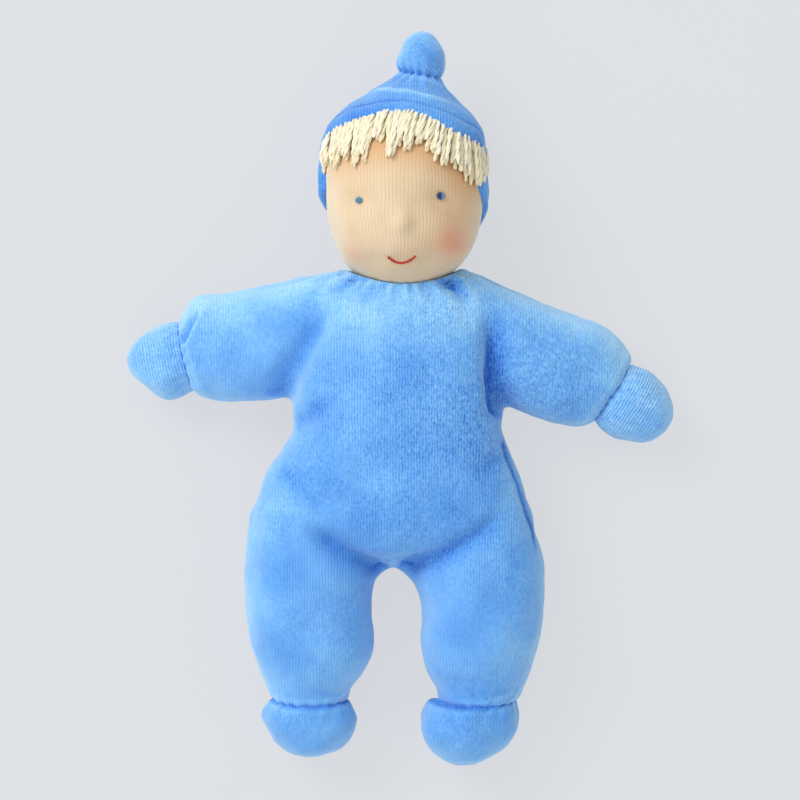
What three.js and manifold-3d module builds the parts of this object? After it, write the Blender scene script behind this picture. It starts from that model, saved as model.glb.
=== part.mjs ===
// A soft stuffed doll in a hooded romper, lying on its back: millimetres, +Z up out of the belly, +Y towards
// the head, +X towards the doll's own left hand. Every stuffed section is a cloth cover round its own wool
// filling. The head, the limbs and the knob turn on balls, each in a seat in the larger section beside it.
import * as THREE from "three";
import { mergeVertices } from "three/addons/utils/BufferGeometryUtils.js";
import Module from "manifold-3d";

const wasm = await Module();
wasm.setup();

// Cloth, thread and clearances
const CLOTH_WALL = 1.6;
const SKIN_WALL = 1.2;
const CLEARANCE = 0.3;
const THREAD_RADIUS = 0.7;
const FLAT_DEPTH = 0.5;
const CUT_REACH = 400;

// Torso, from the crotch to the neckline
const CROTCH_Y = -69;
const TORSO_LENGTH = 121;
const TORSO_CENTRE_X = -2;
const HIP_HALF_WIDTH = 58;
const TORSO_HALF_DEPTH = 28;
const TORSO_ROUND_SHARE = 0.9;

// Head and neck
const HEAD_CENTRE_X = 2.3;
const HEAD_CENTRE_Y = 86;
const HEAD_CENTRE_Z = 36;
const HEAD_HALF_WIDTH = 32.4;
const HEAD_HALF_HEIGHT = 40;
const HEAD_HALF_DEPTH = 33;
const NECK_X = 0.8;
const NECK_PIVOT_Y = 50;
const NECK_PIVOT_Z = 32;
const NECK_BALL_RADIUS = 13.5;
const NECK_STALK_RADIUS = 10.4;
const NECK_STALK_BOTTOM_Y = 22;
const HEAD_ROOM = 1.1;
const HEAD_TURN_DEG = 30;
const NOD_FORWARD_DEG = 15;
const NOD_BACK_DEG = 12;

// Features of the face
const NOSE_X = 0.4;
const NOSE_Y = 71;
const NOSE_HALF_WIDTH = 4.4;
const NOSE_RISE = 2.6;
const NOSE_BALL_RADIUS = 2.3;
const EYE_Y = 82.8;
const EYE_SPREAD = 17;
const EYE_MIDDLE_X = -0.4;
const EYE_RADIUS = 1.7;
const EYE_RISE = 0.8;
const MOUTH_X = 0.6;
const MOUTH_Y = 58.8;
const MOUTH_HALF_WIDTH = 5.9;
const MOUTH_SAG = 2.4;
const MOUTH_THREAD_RADIUS = 0.5;

// Hooded cap and its knob
const CAP_WALL = 2.2;
const CAP_BOTTOM_Y = 50;
const CAP_TOP_Y = 132;
const CAP_CENTRE_X = 1.4;
const CAP_PEAK_SHIFT = 5.8;
const CAP_HALF_WIDTH = 35;
const CAP_HALF_DEPTH = 36;
const FACE_EDGE_Y = 88;
const FACE_EDGE_Z = 41;
const FACE_EDGE_TILT_DEG = 28.7;
const FACE_EDGE_LEAN_DEG = 4.5;
const KNOB_BALL_RADIUS = 6.4;
const KNOB_OVERLAP = 1.8;
const KNOB_HALF_WIDTH = 9.9;
const KNOB_LENGTH = 18;
const KNOB_LEAN_DEG = 8;

// Yarn fringe
const STRANDS = 22;
const YARN_RADIUS = 1.3;
const FRINGE_LOW_X = -30;
const FRINGE_HIGH_X = 33;
const FRINGE_SHORT = 9;
const FRINGE_LONG = 17;
const FRINGE_SWAY = 1.2;
const LENGTH_WAVE = 2.4;
const CLUMP_WAVE = 0.9;
const SWAY_WAVE = 1.7;

// Arms and hands
const ARM_HALF_DEPTH = 21.5;
const ARM_HALF_HEIGHT = 23;
const RIGHT_SHOULDER_X = -52;
const RIGHT_SHOULDER_Y = 23.2;
const RIGHT_WRIST_X = -88.5;
const RIGHT_WRIST_Y = 17.5;
const LEFT_SHOULDER_X = 51;
const LEFT_SHOULDER_Y = 19.4;
const LEFT_WRIST_X = 89;
const LEFT_WRIST_Y = 2.4;
const WRIST_Z = 15.5;
const WRIST_BALL_RADIUS = 12;
const WRIST_OVERLAP = 4;
const WRIST_HALF_DEPTH = 14.6;
const HAND_LENGTH = 24;
const HAND_HALF_HEIGHT = 15.4;
const HAND_HALF_DEPTH = 13.4;

// Legs and feet
const HIP_BALL_RADIUS = 34;
const LEG_HALF_DEPTH = 24;
const THIGH_HALF_WIDTH = 29.4;
const HIP_Y = -72;
const RIGHT_HIP_X = -37.3;
const LEFT_HIP_X = 33.2;
const RIGHT_ANKLE_X = -37;
const LEFT_ANKLE_X = 32.4;
const ANKLE_Y = -123;
const ANKLE_Z = 18.5;
const ANKLE_BALL_RADIUS = 13.6;
const ANKLE_OVERLAP = 3.7;
const RIGHT_FOOT_LENGTH = 24;
const LEFT_FOOT_LENGTH = 27;
const FOOT_HALF_WIDTH = 19.4;
const FOOT_HALF_DEPTH = 18;

// In the groove of a tied joint, the larger section's end leans back by this angle.
const GROOVE_DEG = 15;

// Numbers of facets
const SIDES = 18;
const BULB_SIDES = 14;
const CORE_SIDES = 10;
const BALL_SIDES = 16;
const THREAD_SIDES = 4;
const SEAM_SIDES = 3;
const THREAD_STEPS = 12;
const TORSO_RINGS = 14;
const HEAD_RINGS = 12;
const BULB_RINGS = 9;
const LIMB_RINGS = 11;
const CAP_RINGS = 13;
const CORE_RING_SHARE = 2 / 3;

const X_AXIS = new THREE.Vector3(1, 0, 0);
const Y_AXIS = new THREE.Vector3(0, 1, 0);
const Z_AXIS = new THREE.Vector3(0, 0, 1);
const DOWN = new THREE.Vector3(0, 0, -1);

// Solids and geometry

function solidOf(geometry) {
  const bare = geometry.clone();
  bare.deleteAttribute("normal");
  bare.deleteAttribute("uv");
  const merged = mergeVertices(bare);
  const triVerts = new Uint32Array(merged.index.array);
  const vertProperties = merged.attributes.position.array;
  return new wasm.Manifold(new wasm.Mesh({ numProp: 3, vertProperties, triVerts }));
}

function geometryOf(solid) {
  const mesh = solid.getMesh();
  const geometry = new THREE.BufferGeometry();
  geometry.setAttribute("position", new THREE.BufferAttribute(mesh.vertProperties, mesh.numProp));
  geometry.setIndex(new THREE.BufferAttribute(mesh.triVerts, 1));
  return geometry;
}

function oval(centre, halfX, halfY, halfZ, sides) {
  const geometry = new THREE.SphereGeometry(1, sides, sides / 2).scale(halfX, halfY, halfZ);
  return solidOf(geometry.translate(centre.x, centre.y, centre.z));
}

const ball = (centre, radius, sides) => oval(centre, radius, radius, radius, sides);

// A seat's facets all lie outside the ball that turns in it, with the clearance between.
function seat(centre, radius) {
  const facetShare = Math.cos(Math.PI / BALL_SIDES) ** 2;
  return ball(centre, (radius + CLEARANCE) / facetShare, BALL_SIDES);
}

// The half of space on the far side of a plane, as a block that outreaches the doll.
function beyond(point, normal) {
  const geometry = new THREE.BoxGeometry(CUT_REACH, CUT_REACH, CUT_REACH);
  const turn = new THREE.Quaternion().setFromUnitVectors(Z_AXIS, normal);
  geometry.translate(0, 0, CUT_REACH / 2).applyQuaternion(turn);
  return solidOf(geometry.translate(point.x, point.y, point.z));
}

const underside = beyond(new THREE.Vector3(), DOWN);
const laidFlat = (solid) => solid.subtract(underside);

const ringOutside = (radius) => radius / Math.cos(Math.PI / THREAD_STEPS);

// A ring of thread whose facets all lie outside the named radius.
function threadRing(centre, axis, radius) {
  const outside = ringOutside(radius);
  const geometry = new THREE.TorusGeometry(outside, THREAD_RADIUS, THREAD_SIDES, THREAD_STEPS);
  const turn = new THREE.Quaternion().setFromUnitVectors(Z_AXIS, axis);
  return solidOf(geometry.applyQuaternion(turn).translate(centre.x, centre.y, centre.z));
}

// One closed skin over rings of points, with a pole at each end.
function skinOver(firstPole, rings, lastPole) {
  const sides = rings[0].length;
  const points = [firstPole, ...rings.flat(), lastPole];
  const last = points.length - 1;
  const faces = [];
  const at = (ring, side) => 1 + ring * sides + (side % sides);
  for (let side = 0; side < sides; side++) {
    faces.push(0, at(0, side + 1), at(0, side));
    for (let ring = 0; ring < rings.length - 1; ring++) {
      const [a, b] = [at(ring, side), at(ring, side + 1)];
      const [c, d] = [at(ring + 1, side + 1), at(ring + 1, side)];
      faces.push(a, b, c, a, c, d);
    }
    faces.push(last, at(rings.length - 1, side), at(rings.length - 1, side + 1));
  }
  const geometry = new THREE.BufferGeometry().setFromPoints(points);
  geometry.setIndex(faces);
  return solidOf(geometry);
}

// The sideways shift of a form at one length, from its straight-line table of shifts.
function shiftAt(stations, length) {
  const after = Math.max(stations.findIndex(([a]) => a >= length), 1);
  const [[a0, , , s0 = 0], [a1, , , s1 = 0]] = [stations[after - 1], stations[after]];
  return s0 + ((s1 - s0) * (length - a0)) / (a1 - a0 || 1);
}

// A stuffed form swept from start to end. Each station is [along, halfAcross, halfDepth, shiftAcross]. An
// inset draws the whole surface in by that much.
function stuffedForm({ start, end, stations, roundShare = 1, ringCount, sides, inset = 0 }) {
  const length = start.distanceTo(end);
  const along = end.clone().sub(start).normalize();
  const across = Z_AXIS.clone().cross(along).normalize();
  const depth = along.clone().cross(across);
  const sizes = stations.map(([a, w, d]) => new THREE.Vector3(a, w, d));
  const curve = new THREE.CatmullRomCurve3(sizes, false, "centripetal");
  const middleAt = (a) =>
    start
      .clone()
      .addScaledVector(along, inset + (a * (length - 2 * inset)) / length)
      .addScaledVector(across, shiftAt(stations, a));
  const power = (value) => Math.sign(value) * Math.abs(value) ** roundShare;
  const rings = [];
  for (let i = 1; i <= ringCount; i++) {
    const size = curve.getPointAt(i / (ringCount + 1));
    const middle = middleAt(size.x);
    const w = Math.max(size.y - inset, size.y / ringCount);
    const d = Math.max(size.z - inset, size.z / ringCount);
    const ring = [];
    for (let k = 0; k < sides; k++) {
      const angle = (2 * Math.PI * k) / sides;
      const point = middle.clone().addScaledVector(across, w * power(Math.cos(angle)));
      ring.push(point.addScaledVector(depth, d * power(Math.sin(angle))));
    }
    rings.push(ring);
  }
  return skinOver(middleAt(0), rings, middleAt(length));
}

// A cover is a form's outer skin less its hollow, and the filling lies a clearance inside the hollow.
function layers(form, wall) {
  const coarse = { sides: CORE_SIDES, ringCount: Math.ceil(form.ringCount * CORE_RING_SHARE) };
  return {
    outer: stuffedForm(form),
    hollow: stuffedForm({ ...form, ...coarse, inset: wall }),
    core: stuffedForm({ ...form, ...coarse, inset: wall + CLEARANCE }),
  };
}

// Torso

const torsoShares = [
  [0, 0, 0],
  [0.012, 0.3, 0.42],
  [0.05, 0.6, 0.62],
  [0.11, 0.86, 0.78],
  [0.175, 1, 0.88],
  [0.24, 0.965, 0.95],
  [0.32, 0.89, 0.99],
  [0.41, 0.8, 1],
  [0.5, 0.745, 0.98],
  [0.6, 0.74, 0.94],
  [0.7, 0.76, 0.88],
  [0.8, 0.78, 0.81],
  [0.89, 0.72, 0.72],
  [0.95, 0.56, 0.6],
  [0.985, 0.32, 0.42],
  [1, 0, 0],
];
const torsoZ = TORSO_HALF_DEPTH - FLAT_DEPTH;
const torso = layers(
  {
    start: new THREE.Vector3(TORSO_CENTRE_X, CROTCH_Y, torsoZ),
    end: new THREE.Vector3(TORSO_CENTRE_X, CROTCH_Y + TORSO_LENGTH, torsoZ),
    stations: torsoShares.map(([a, w, d]) => [
      a * TORSO_LENGTH,
      w * HIP_HALF_WIDTH,
      d * TORSO_HALF_DEPTH,
    ]),
    roundShare: TORSO_ROUND_SHARE,
    ringCount: TORSO_RINGS,
    sides: SIDES,
  },
  CLOTH_WALL,
);

// Joint centres

const armZ = ARM_HALF_DEPTH - FLAT_DEPTH;
const legZ = LEG_HALF_DEPTH - FLAT_DEPTH;
const arms = {
  right: {
    shoulder: new THREE.Vector3(RIGHT_SHOULDER_X, RIGHT_SHOULDER_Y, armZ),
    wrist: new THREE.Vector3(RIGHT_WRIST_X, RIGHT_WRIST_Y, WRIST_Z),
  },
  left: {
    shoulder: new THREE.Vector3(LEFT_SHOULDER_X, LEFT_SHOULDER_Y, armZ),
    wrist: new THREE.Vector3(LEFT_WRIST_X, LEFT_WRIST_Y, WRIST_Z),
  },
};
const legs = {
  right: {
    hip: new THREE.Vector3(RIGHT_HIP_X, HIP_Y, legZ),
    ankle: new THREE.Vector3(RIGHT_ANKLE_X, ANKLE_Y, ANKLE_Z),
    footLength: RIGHT_FOOT_LENGTH,
  },
  left: {
    hip: new THREE.Vector3(LEFT_HIP_X, HIP_Y, legZ),
    ankle: new THREE.Vector3(LEFT_ANKLE_X, ANKLE_Y, ANKLE_Z),
    footLength: LEFT_FOOT_LENGTH,
  },
};
const neckPivot = new THREE.Vector3(NECK_X, NECK_PIVOT_Y, NECK_PIVOT_Z);
const headCentre = new THREE.Vector3(HEAD_CENTRE_X, HEAD_CENTRE_Y, HEAD_CENTRE_Z);

// Round forms, and the head's

const roundLengthShares = [0, 0.012, 0.05, 0.12, 0.22, 0.35, 0.5, 0.65, 0.78, 0.88, 0.95, 0.988, 1];
const ROUND_SHARE = 2.15;
const roundWidthShare = (share) =>
  (1 - Math.abs(2 * share - 1) ** ROUND_SHARE) ** (1 / ROUND_SHARE);

// Stations of a round form that is a little fuller than an oval.
const roundStations = (length, halfAcross, halfDepth) =>
  roundLengthShares.map((share) => [
    share * length,
    roundWidthShare(share) * halfAcross,
    roundWidthShare(share) * halfDepth,
  ]);

const headForm = {
  start: headCentre.clone().addScaledVector(Y_AXIS, -HEAD_HALF_HEIGHT),
  end: headCentre.clone().addScaledVector(Y_AXIS, HEAD_HALF_HEIGHT),
  stations: roundStations(2 * HEAD_HALF_HEIGHT, HEAD_HALF_WIDTH, HEAD_HALF_DEPTH),
  ringCount: HEAD_RINGS,
  sides: SIDES,
};

// Torso, less what it leaves room for: four balls, the chin and the neck

// Two threads lie round the neck below its ball: the tie of the neck, and under it the thread that gathers
// the neckline of the romper.
const neckRingRadius = NECK_STALK_RADIUS + CLEARANCE + THREAD_RADIUS;
const neckBallDrop = Math.sqrt(NECK_BALL_RADIUS ** 2 - NECK_STALK_RADIUS ** 2);
const neckTieY = NECK_PIVOT_Y - neckBallDrop - CLEARANCE - THREAD_RADIUS;
const necklineY = neckTieY - CLEARANCE - 2 * THREAD_RADIUS;

function neckBar(radius, bottom, top) {
  const geometry = new THREE.CylinderGeometry(radius, radius, top - bottom, BALL_SIDES);
  return solidOf(geometry.translate(NECK_X, (bottom + top) / 2, NECK_PIVOT_Z));
}

// The head as it lies when it has nodded and turned, with room round it.
function noddedHead(turnDeg, nodDeg) {
  const nod = new THREE.Quaternion().setFromAxisAngle(X_AXIS, THREE.MathUtils.degToRad(nodDeg));
  const turn = new THREE.Quaternion().setFromAxisAngle(Y_AXIS, THREE.MathUtils.degToRad(turnDeg));
  const moved = (point) =>
    point.clone().sub(neckPivot).applyQuaternion(nod).applyQuaternion(turn).add(neckPivot);
  const [start, end] = [moved(headForm.start), moved(headForm.end)];
  return stuffedForm({ ...headForm, start, end, inset: -HEAD_ROOM });
}

const headRoom = [-HEAD_TURN_DEG, 0, HEAD_TURN_DEG]
  .flatMap((turn) => [-NOD_BACK_DEG, 0, NOD_FORWARD_DEG].map((nod) => noddedHead(turn, nod)))
  .reduce((all, one) => all.add(one));
const neckBore = neckBar(
  ringOutside(neckRingRadius) + THREAD_RADIUS + CLEARANCE,
  necklineY - THREAD_RADIUS - CLEARANCE,
  NECK_PIVOT_Y,
);
const stalkBore = neckBar(
  NECK_STALK_RADIUS + CLEARANCE,
  NECK_STALK_BOTTOM_Y - CLEARANCE,
  NECK_PIVOT_Y,
);
const torsoRoom = [
  ...Object.values(arms).map((arm) => seat(arm.shoulder, ARM_HALF_HEIGHT)),
  ...Object.values(legs).map((leg) => seat(leg.hip, HIP_BALL_RADIUS)),
  headRoom,
  seat(neckPivot, NECK_BALL_RADIUS),
  neckBore,
].reduce((all, room) => all.add(room));
const torsoCover = laidFlat(torso.outer.subtract(torso.hollow).subtract(torsoRoom));
const torsoFilling = torso.core.subtract(torsoRoom.add(stalkBore));
const seamFront = new THREE.Vector3(0, 0, torsoZ + CLEARANCE / 2);
const seamBack = new THREE.Vector3(0, 0, torsoZ - CLEARANCE / 2);

// Neck

function neckStalk() {
  const profile = new THREE.Path();
  profile.moveTo(0, NECK_STALK_BOTTOM_Y - NECK_PIVOT_Y);
  profile.lineTo(NECK_STALK_RADIUS, NECK_STALK_BOTTOM_Y - NECK_PIVOT_Y);
  profile.lineTo(NECK_STALK_RADIUS, -neckBallDrop);
  profile.absarc(0, 0, NECK_BALL_RADIUS, -Math.asin(neckBallDrop / NECK_BALL_RADIUS), Math.PI / 2);
  const points = profile.getPoints(THREAD_SIDES);
  points[points.length - 1].x = 0;
  const geometry = new THREE.LatheGeometry(points, BALL_SIDES);
  return solidOf(geometry.translate(NECK_X, NECK_PIVOT_Y, NECK_PIVOT_Z));
}

const neckRing = (y) =>
  threadRing(new THREE.Vector3(NECK_X, y, NECK_PIVOT_Z), Y_AXIS, neckRingRadius);

// Head

// The height of the face over the point x, y, with the head's surface raised by lift.
function faceZ(x, y, lift) {
  const share = (y - HEAD_CENTRE_Y) / (HEAD_HALF_HEIGHT + lift);
  const half = roundWidthShare((Math.min(Math.abs(share), 1) + 1) / 2);
  const across = (x - HEAD_CENTRE_X) / (half * (HEAD_HALF_WIDTH + lift));
  const rise = Math.sqrt(Math.max(1 - across ** 2, 0));
  return HEAD_CENTRE_Z + half * (HEAD_HALF_DEPTH + lift) * rise;
}

const head = layers(headForm, SKIN_WALL);
const headSeat = seat(neckPivot, NECK_BALL_RADIUS);
const nosePoint = new THREE.Vector3(NOSE_X, NOSE_Y, faceZ(NOSE_X, NOSE_Y, 0));
const noseMiddle = nosePoint.clone().addScaledVector(Z_AXIS, -SKIN_WALL - CLEARANCE);
const nosePocket = ball(noseMiddle, NOSE_BALL_RADIUS + CLEARANCE, CORE_SIDES);
const noseBump = oval(nosePoint, NOSE_HALF_WIDTH, NOSE_HALF_WIDTH, NOSE_RISE, CORE_SIDES);
const headSkin = head.outer.add(noseBump).subtract(head.hollow).subtract(nosePocket);
const headCore = head.core.subtract(nosePocket).subtract(headSeat);
const headKeepOut = stuffedForm({ ...headForm, inset: -CLEARANCE });

const eyeShares = [
  [0, 0],
  [1, 0],
  [0.75, 0.7],
  [0, 1],
];

// An embroidered eye: a low round pad of stitches that faces the way the skin does.
function eye(x) {
  const step = EYE_RADIUS;
  const lift = CLEARANCE;
  const at = (px, py) => new THREE.Vector3(px, py, faceZ(px, py, lift));
  const alongX = at(x + step, EYE_Y).sub(at(x - step, EYE_Y));
  const alongY = at(x, EYE_Y + step).sub(at(x, EYE_Y - step));
  const turn = new THREE.Quaternion().setFromUnitVectors(Y_AXIS, alongX.cross(alongY).normalize());
  const profile = eyeShares.map(([out, up]) => new THREE.Vector2(out * EYE_RADIUS, up * EYE_RISE));
  const geometry = new THREE.LatheGeometry(profile, CORE_SIDES).applyQuaternion(turn);
  const point = at(x, EYE_Y);
  return solidOf(geometry.translate(point.x, point.y, point.z));
}

// A thread or a strand of yarn through the points, with a pointed end.
function strand(points, radius, sides) {
  const curve = new THREE.CatmullRomCurve3(points);
  const steps = points.length;
  const frames = curve.computeFrenetFrames(steps, false);
  const rings = [];
  for (let i = 0; i <= steps; i++) {
    const middle = curve.getPoint(i / steps);
    const ring = [];
    for (let k = 0; k < sides; k++) {
      const angle = (2 * Math.PI * k) / sides;
      const point = middle.clone().addScaledVector(frames.normals[i], radius * Math.cos(angle));
      ring.push(point.addScaledVector(frames.binormals[i], radius * Math.sin(angle)));
    }
    rings.push(ring);
  }
  const first = curve.getPoint(0).addScaledVector(frames.tangents[0], -radius / 2);
  const last = curve.getPoint(1).addScaledVector(frames.tangents[steps], radius / 2);
  return skinOver(first, rings, last);
}

const mouthShares = [-1, -0.6, -0.2, 0.2, 0.6, 1];

function mouth() {
  const lift = CLEARANCE + MOUTH_THREAD_RADIUS;
  const points = mouthShares.map((share) => {
    const x = MOUTH_X + MOUTH_HALF_WIDTH * share;
    const y = MOUTH_Y - MOUTH_SAG * (1 - share ** 2);
    return new THREE.Vector3(x, y, faceZ(x, y, lift));
  });
  return strand(points, MOUTH_THREAD_RADIUS, THREAD_SIDES);
}

// The tied joint between two stuffed sections: the smaller one turns on a ball at its neck

const grooveShare = Math.tan(THREE.MathUtils.degToRad(GROOVE_DEG));
const grooveShares = [
  [0, 0],
  [1, -grooveShare],
  [1, 1],
  [0, 1],
];
const ballLengthShares = [0, 0.04, 0.15, 0.35, 0.65];
const ballWidthShare = (share) => Math.sqrt(share * (2 - share));

// What the larger section leaves free at a tied joint: the ball's seat and the open side of the groove.
function tiedRoom(pivot, along, ballRadius, reach) {
  const profile = grooveShares.map(([out, up]) => new THREE.Vector2(out * reach, up * reach));
  const geometry = new THREE.LatheGeometry(profile, BALL_SIDES);
  const turn = new THREE.Quaternion().setFromUnitVectors(Y_AXIS, along);
  geometry.applyQuaternion(turn).translate(pivot.x, pivot.y, pivot.z);
  return solidOf(geometry).add(seat(pivot, ballRadius));
}

// A hand, a foot or the knob, as a round form whose near end is sewn to the ball at its pivot.
function tiedBulb({ pivot, along, ballRadius, overlap, length, halfAcross, halfDepth }) {
  const form = {
    start: pivot.clone().addScaledVector(along, -overlap),
    end: pivot.clone().addScaledVector(along, length),
    stations: roundStations(overlap + length, halfAcross, halfDepth),
    ringCount: BULB_RINGS,
    sides: BULB_SIDES,
  };
  const { outer, hollow, core } = layers(form, CLOTH_WALL);
  const ballAt = (inset) => ball(pivot, ballRadius - inset, CORE_SIDES);
  const gatherRadius = ballRadius / 2;
  const gatherReach = ballRadius - THREAD_RADIUS - CLEARANCE;
  const drop = Math.sqrt(gatherReach ** 2 - gatherRadius ** 2);
  const gatherCentre = pivot.clone().addScaledVector(along, -drop);
  const pole = pivot.clone().addScaledVector(along, -ballRadius);
  const openingRadius = Math.hypot(ballRadius - drop, gatherRadius) + THREAD_RADIUS;
  return {
    cover: outer
      .add(ballAt(0))
      .subtract(hollow.add(ballAt(CLOTH_WALL)))
      .subtract(seat(pole, openingRadius)),
    filling: core.add(ballAt(CLOTH_WALL + CLEARANCE)),
    gather: threadRing(gatherCentre, along, gatherRadius),
    room: tiedRoom(pivot, along, ballRadius, 2 * halfAcross),
  };
}

// Cap

const capShares = [
  [0, 0, 0],
  [0.012, 0.3, 0],
  [0.05, 0.52, 0],
  [0.13, 0.74, 0],
  [0.24, 0.9, 0],
  [0.38, 0.985, 0],
  [0.52, 1, 0],
  [0.68, 0.965, 0.02],
  [0.785, 0.84, 0.12],
  [0.86, 0.66, 0.3],
  [0.915, 0.48, 0.55],
  [0.955, 0.34, 0.8],
  [0.98, 0.22, 0.95],
  [1, 0, 1],
];
const capZ = CAP_HALF_DEPTH - FLAT_DEPTH;
const capHeight = CAP_TOP_Y - CAP_BOTTOM_Y;
const capForm = {
  start: new THREE.Vector3(CAP_CENTRE_X, CAP_BOTTOM_Y, capZ),
  end: new THREE.Vector3(CAP_CENTRE_X, CAP_TOP_Y, capZ),
  stations: capShares.map(([a, half, shift]) => [
    a * capHeight,
    half * CAP_HALF_WIDTH,
    half * CAP_HALF_DEPTH,
    -shift * CAP_PEAK_SHIFT,
  ]),
  ringCount: CAP_RINGS,
  sides: SIDES,
};
const faceEdge = new THREE.Vector3(CAP_CENTRE_X, FACE_EDGE_Y, FACE_EDGE_Z);
const faceTilt = THREE.MathUtils.degToRad(FACE_EDGE_TILT_DEG);
const faceLean = THREE.MathUtils.degToRad(FACE_EDGE_LEAN_DEG);
const faceNormal = new THREE.Vector3(
  -Math.sin(faceLean),
  -Math.sin(faceTilt) * Math.cos(faceLean),
  Math.cos(faceTilt) * Math.cos(faceLean),
);
const capPeak = capForm.end.clone().setX(CAP_CENTRE_X + CAP_PEAK_SHIFT);
const knobLean = THREE.MathUtils.degToRad(KNOB_LEAN_DEG);
const knob = tiedBulb({
  pivot: capPeak,
  along: new THREE.Vector3(Math.sin(knobLean), Math.cos(knobLean), 0),
  ballRadius: KNOB_BALL_RADIUS,
  overlap: KNOB_OVERLAP,
  length: KNOB_LENGTH,
  halfAcross: KNOB_HALF_WIDTH,
  halfDepth: KNOB_HALF_WIDTH,
});
const capHollow = stuffedForm({ ...capForm, inset: CAP_WALL });
const cap = laidFlat(
  stuffedForm(capForm)
    .subtract(capHollow.add(headKeepOut))
    .subtract(knob.room)
    .subtract(beyond(faceEdge, faceNormal)),
);

// Yarn fringe, sewn along the edge of the cap over the forehead

// Where the line up the forehead at x meets the cap's edge, found by halving.
function edgeY(x, lift) {
  let low = HEAD_CENTRE_Y;
  let high = HEAD_CENTRE_Y + HEAD_HALF_HEIGHT;
  for (let halving = 0; halving < STRANDS; halving++) {
    const y = (low + high) / 2;
    const clear = faceNormal.dot(new THREE.Vector3(x, y, faceZ(x, y, lift)).sub(faceEdge));
    if (clear > lift) low = y;
    else high = y;
  }
  return low;
}

const strandShares = [0, 0.5, 1];

function fringe() {
  const lift = CLEARANCE + YARN_RADIUS;
  const seam = [];
  const strands = [];
  for (let i = 0; i < STRANDS; i++) {
    const x = FRINGE_LOW_X + ((FRINGE_HIGH_X - FRINGE_LOW_X) * i) / (STRANDS - 1);
    const top = edgeY(x, lift);
    const share = 0.5 + 0.5 * Math.sin(LENGTH_WAVE * i) * Math.cos(CLUMP_WAVE * i + 1);
    const length = FRINGE_SHORT + (FRINGE_LONG - FRINGE_SHORT) * share;
    const points = strandShares.map((down) => {
      const px = x + FRINGE_SWAY * Math.sin(SWAY_WAVE * i) * down ** 2;
      return new THREE.Vector3(px, top - length * down, faceZ(px, top - length * down, lift));
    });
    seam.push(points[0]);
    strands.push(strand(points, YARN_RADIUS, THREAD_SIDES));
  }
  return strands.reduce((all, one) => all.add(one), strand(seam, YARN_RADIUS, SEAM_SIDES));
}

// Arms and hands

const armShares = [
  [0, 1, 1],
  [0.3, 0.99, 0.98],
  [0.6, 0.95, 0.92],
  [0.8, 0.88, 0.83],
];
const wristShare = 0.68;

// The whole of a limb, from the ball in its seat to the groove at its far end.
function limbForm({ pivot, end, ballRadius, halfAcross, halfDepth, shares, endAcross, endDepth }) {
  const length = pivot.distanceTo(end);
  const along = end.clone().sub(pivot).normalize();
  const stations = ballLengthShares.map((share) => {
    const half = ballWidthShare(share) * ballRadius;
    return [share * ballRadius, Math.min(half, halfAcross), Math.min(half, halfDepth)];
  });
  for (const [a, w, d] of shares) {
    stations.push([ballRadius + a * length, w * halfAcross, d * halfDepth]);
  }
  stations.push([ballRadius + length - grooveShare * endAcross, endAcross, endDepth]);
  stations.push([ballRadius + length, 0, 0]);
  return {
    start: pivot.clone().addScaledVector(along, -ballRadius),
    end,
    stations,
    ringCount: LIMB_RINGS,
    sides: SIDES,
  };
}

function armParts({ shoulder, wrist }) {
  const form = limbForm({
    pivot: shoulder,
    end: wrist,
    ballRadius: ARM_HALF_HEIGHT,
    halfAcross: ARM_HALF_HEIGHT,
    halfDepth: ARM_HALF_DEPTH,
    shares: armShares,
    endAcross: wristShare * ARM_HALF_HEIGHT,
    endDepth: WRIST_HALF_DEPTH,
  });
  const hand = tiedBulb({
    pivot: wrist,
    along: wrist.clone().sub(shoulder).setZ(0).normalize(),
    ballRadius: WRIST_BALL_RADIUS,
    overlap: WRIST_OVERLAP,
    length: HAND_LENGTH,
    halfAcross: HAND_HALF_HEIGHT,
    halfDepth: HAND_HALF_DEPTH,
  });
  const { outer, hollow, core } = layers(form, CLOTH_WALL);
  return {
    sleeve: laidFlat(outer.subtract(hollow.add(hand.room))),
    armFilling: core.subtract(hand.room),
    hand,
  };
}

// Legs and feet

const legShares = [
  [0, 1, 1],
  [0.28, 0.93, 1],
  [0.5, 0.865, 0.98],
  [0.7, 0.79, 0.93],
  [0.86, 0.69, 0.82],
];
const ankleShare = 0.58;

function legParts({ hip, ankle, footLength }) {
  const form = limbForm({
    pivot: hip,
    end: ankle,
    ballRadius: HIP_BALL_RADIUS,
    halfAcross: THIGH_HALF_WIDTH,
    halfDepth: LEG_HALF_DEPTH,
    shares: legShares,
    endAcross: ankleShare * THIGH_HALF_WIDTH,
    endDepth: ankleShare * THIGH_HALF_WIDTH,
  });
  const foot = tiedBulb({
    pivot: ankle,
    along: ankle.clone().sub(hip).setZ(0).normalize(),
    ballRadius: ANKLE_BALL_RADIUS,
    overlap: ANKLE_OVERLAP,
    length: footLength,
    halfAcross: FOOT_HALF_WIDTH,
    halfDepth: FOOT_HALF_DEPTH,
  });
  const { outer, hollow, core } = layers(form, CLOTH_WALL);
  return {
    legCover: laidFlat(outer.subtract(hollow.add(foot.room))),
    legFilling: core.subtract(foot.room),
    foot,
  };
}

// Materials

const material = (color, roughness) =>
  new THREE.MeshStandardMaterial({ color, roughness, metalness: 0 });
const velour = material(0x5fa8f0, 0.95);
const tricot = material(0xe8c49a, 0.9);
const wool = material(0xefe6d2, 1);
const yarn = material(0xf3ead0, 0.95);
const thread = material(0x3f7fd0, 0.8);
const redThread = material(0xc2362f, 0.7);
const eyeThread = material(0x3c6f9c, 0.6);

const pieces = new THREE.Group();

function piece(name, solid, finish) {
  const mesh = new THREE.Mesh(geometryOf(solid), finish.clone());
  mesh.name = name;
  pieces.add(mesh);
}

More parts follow.
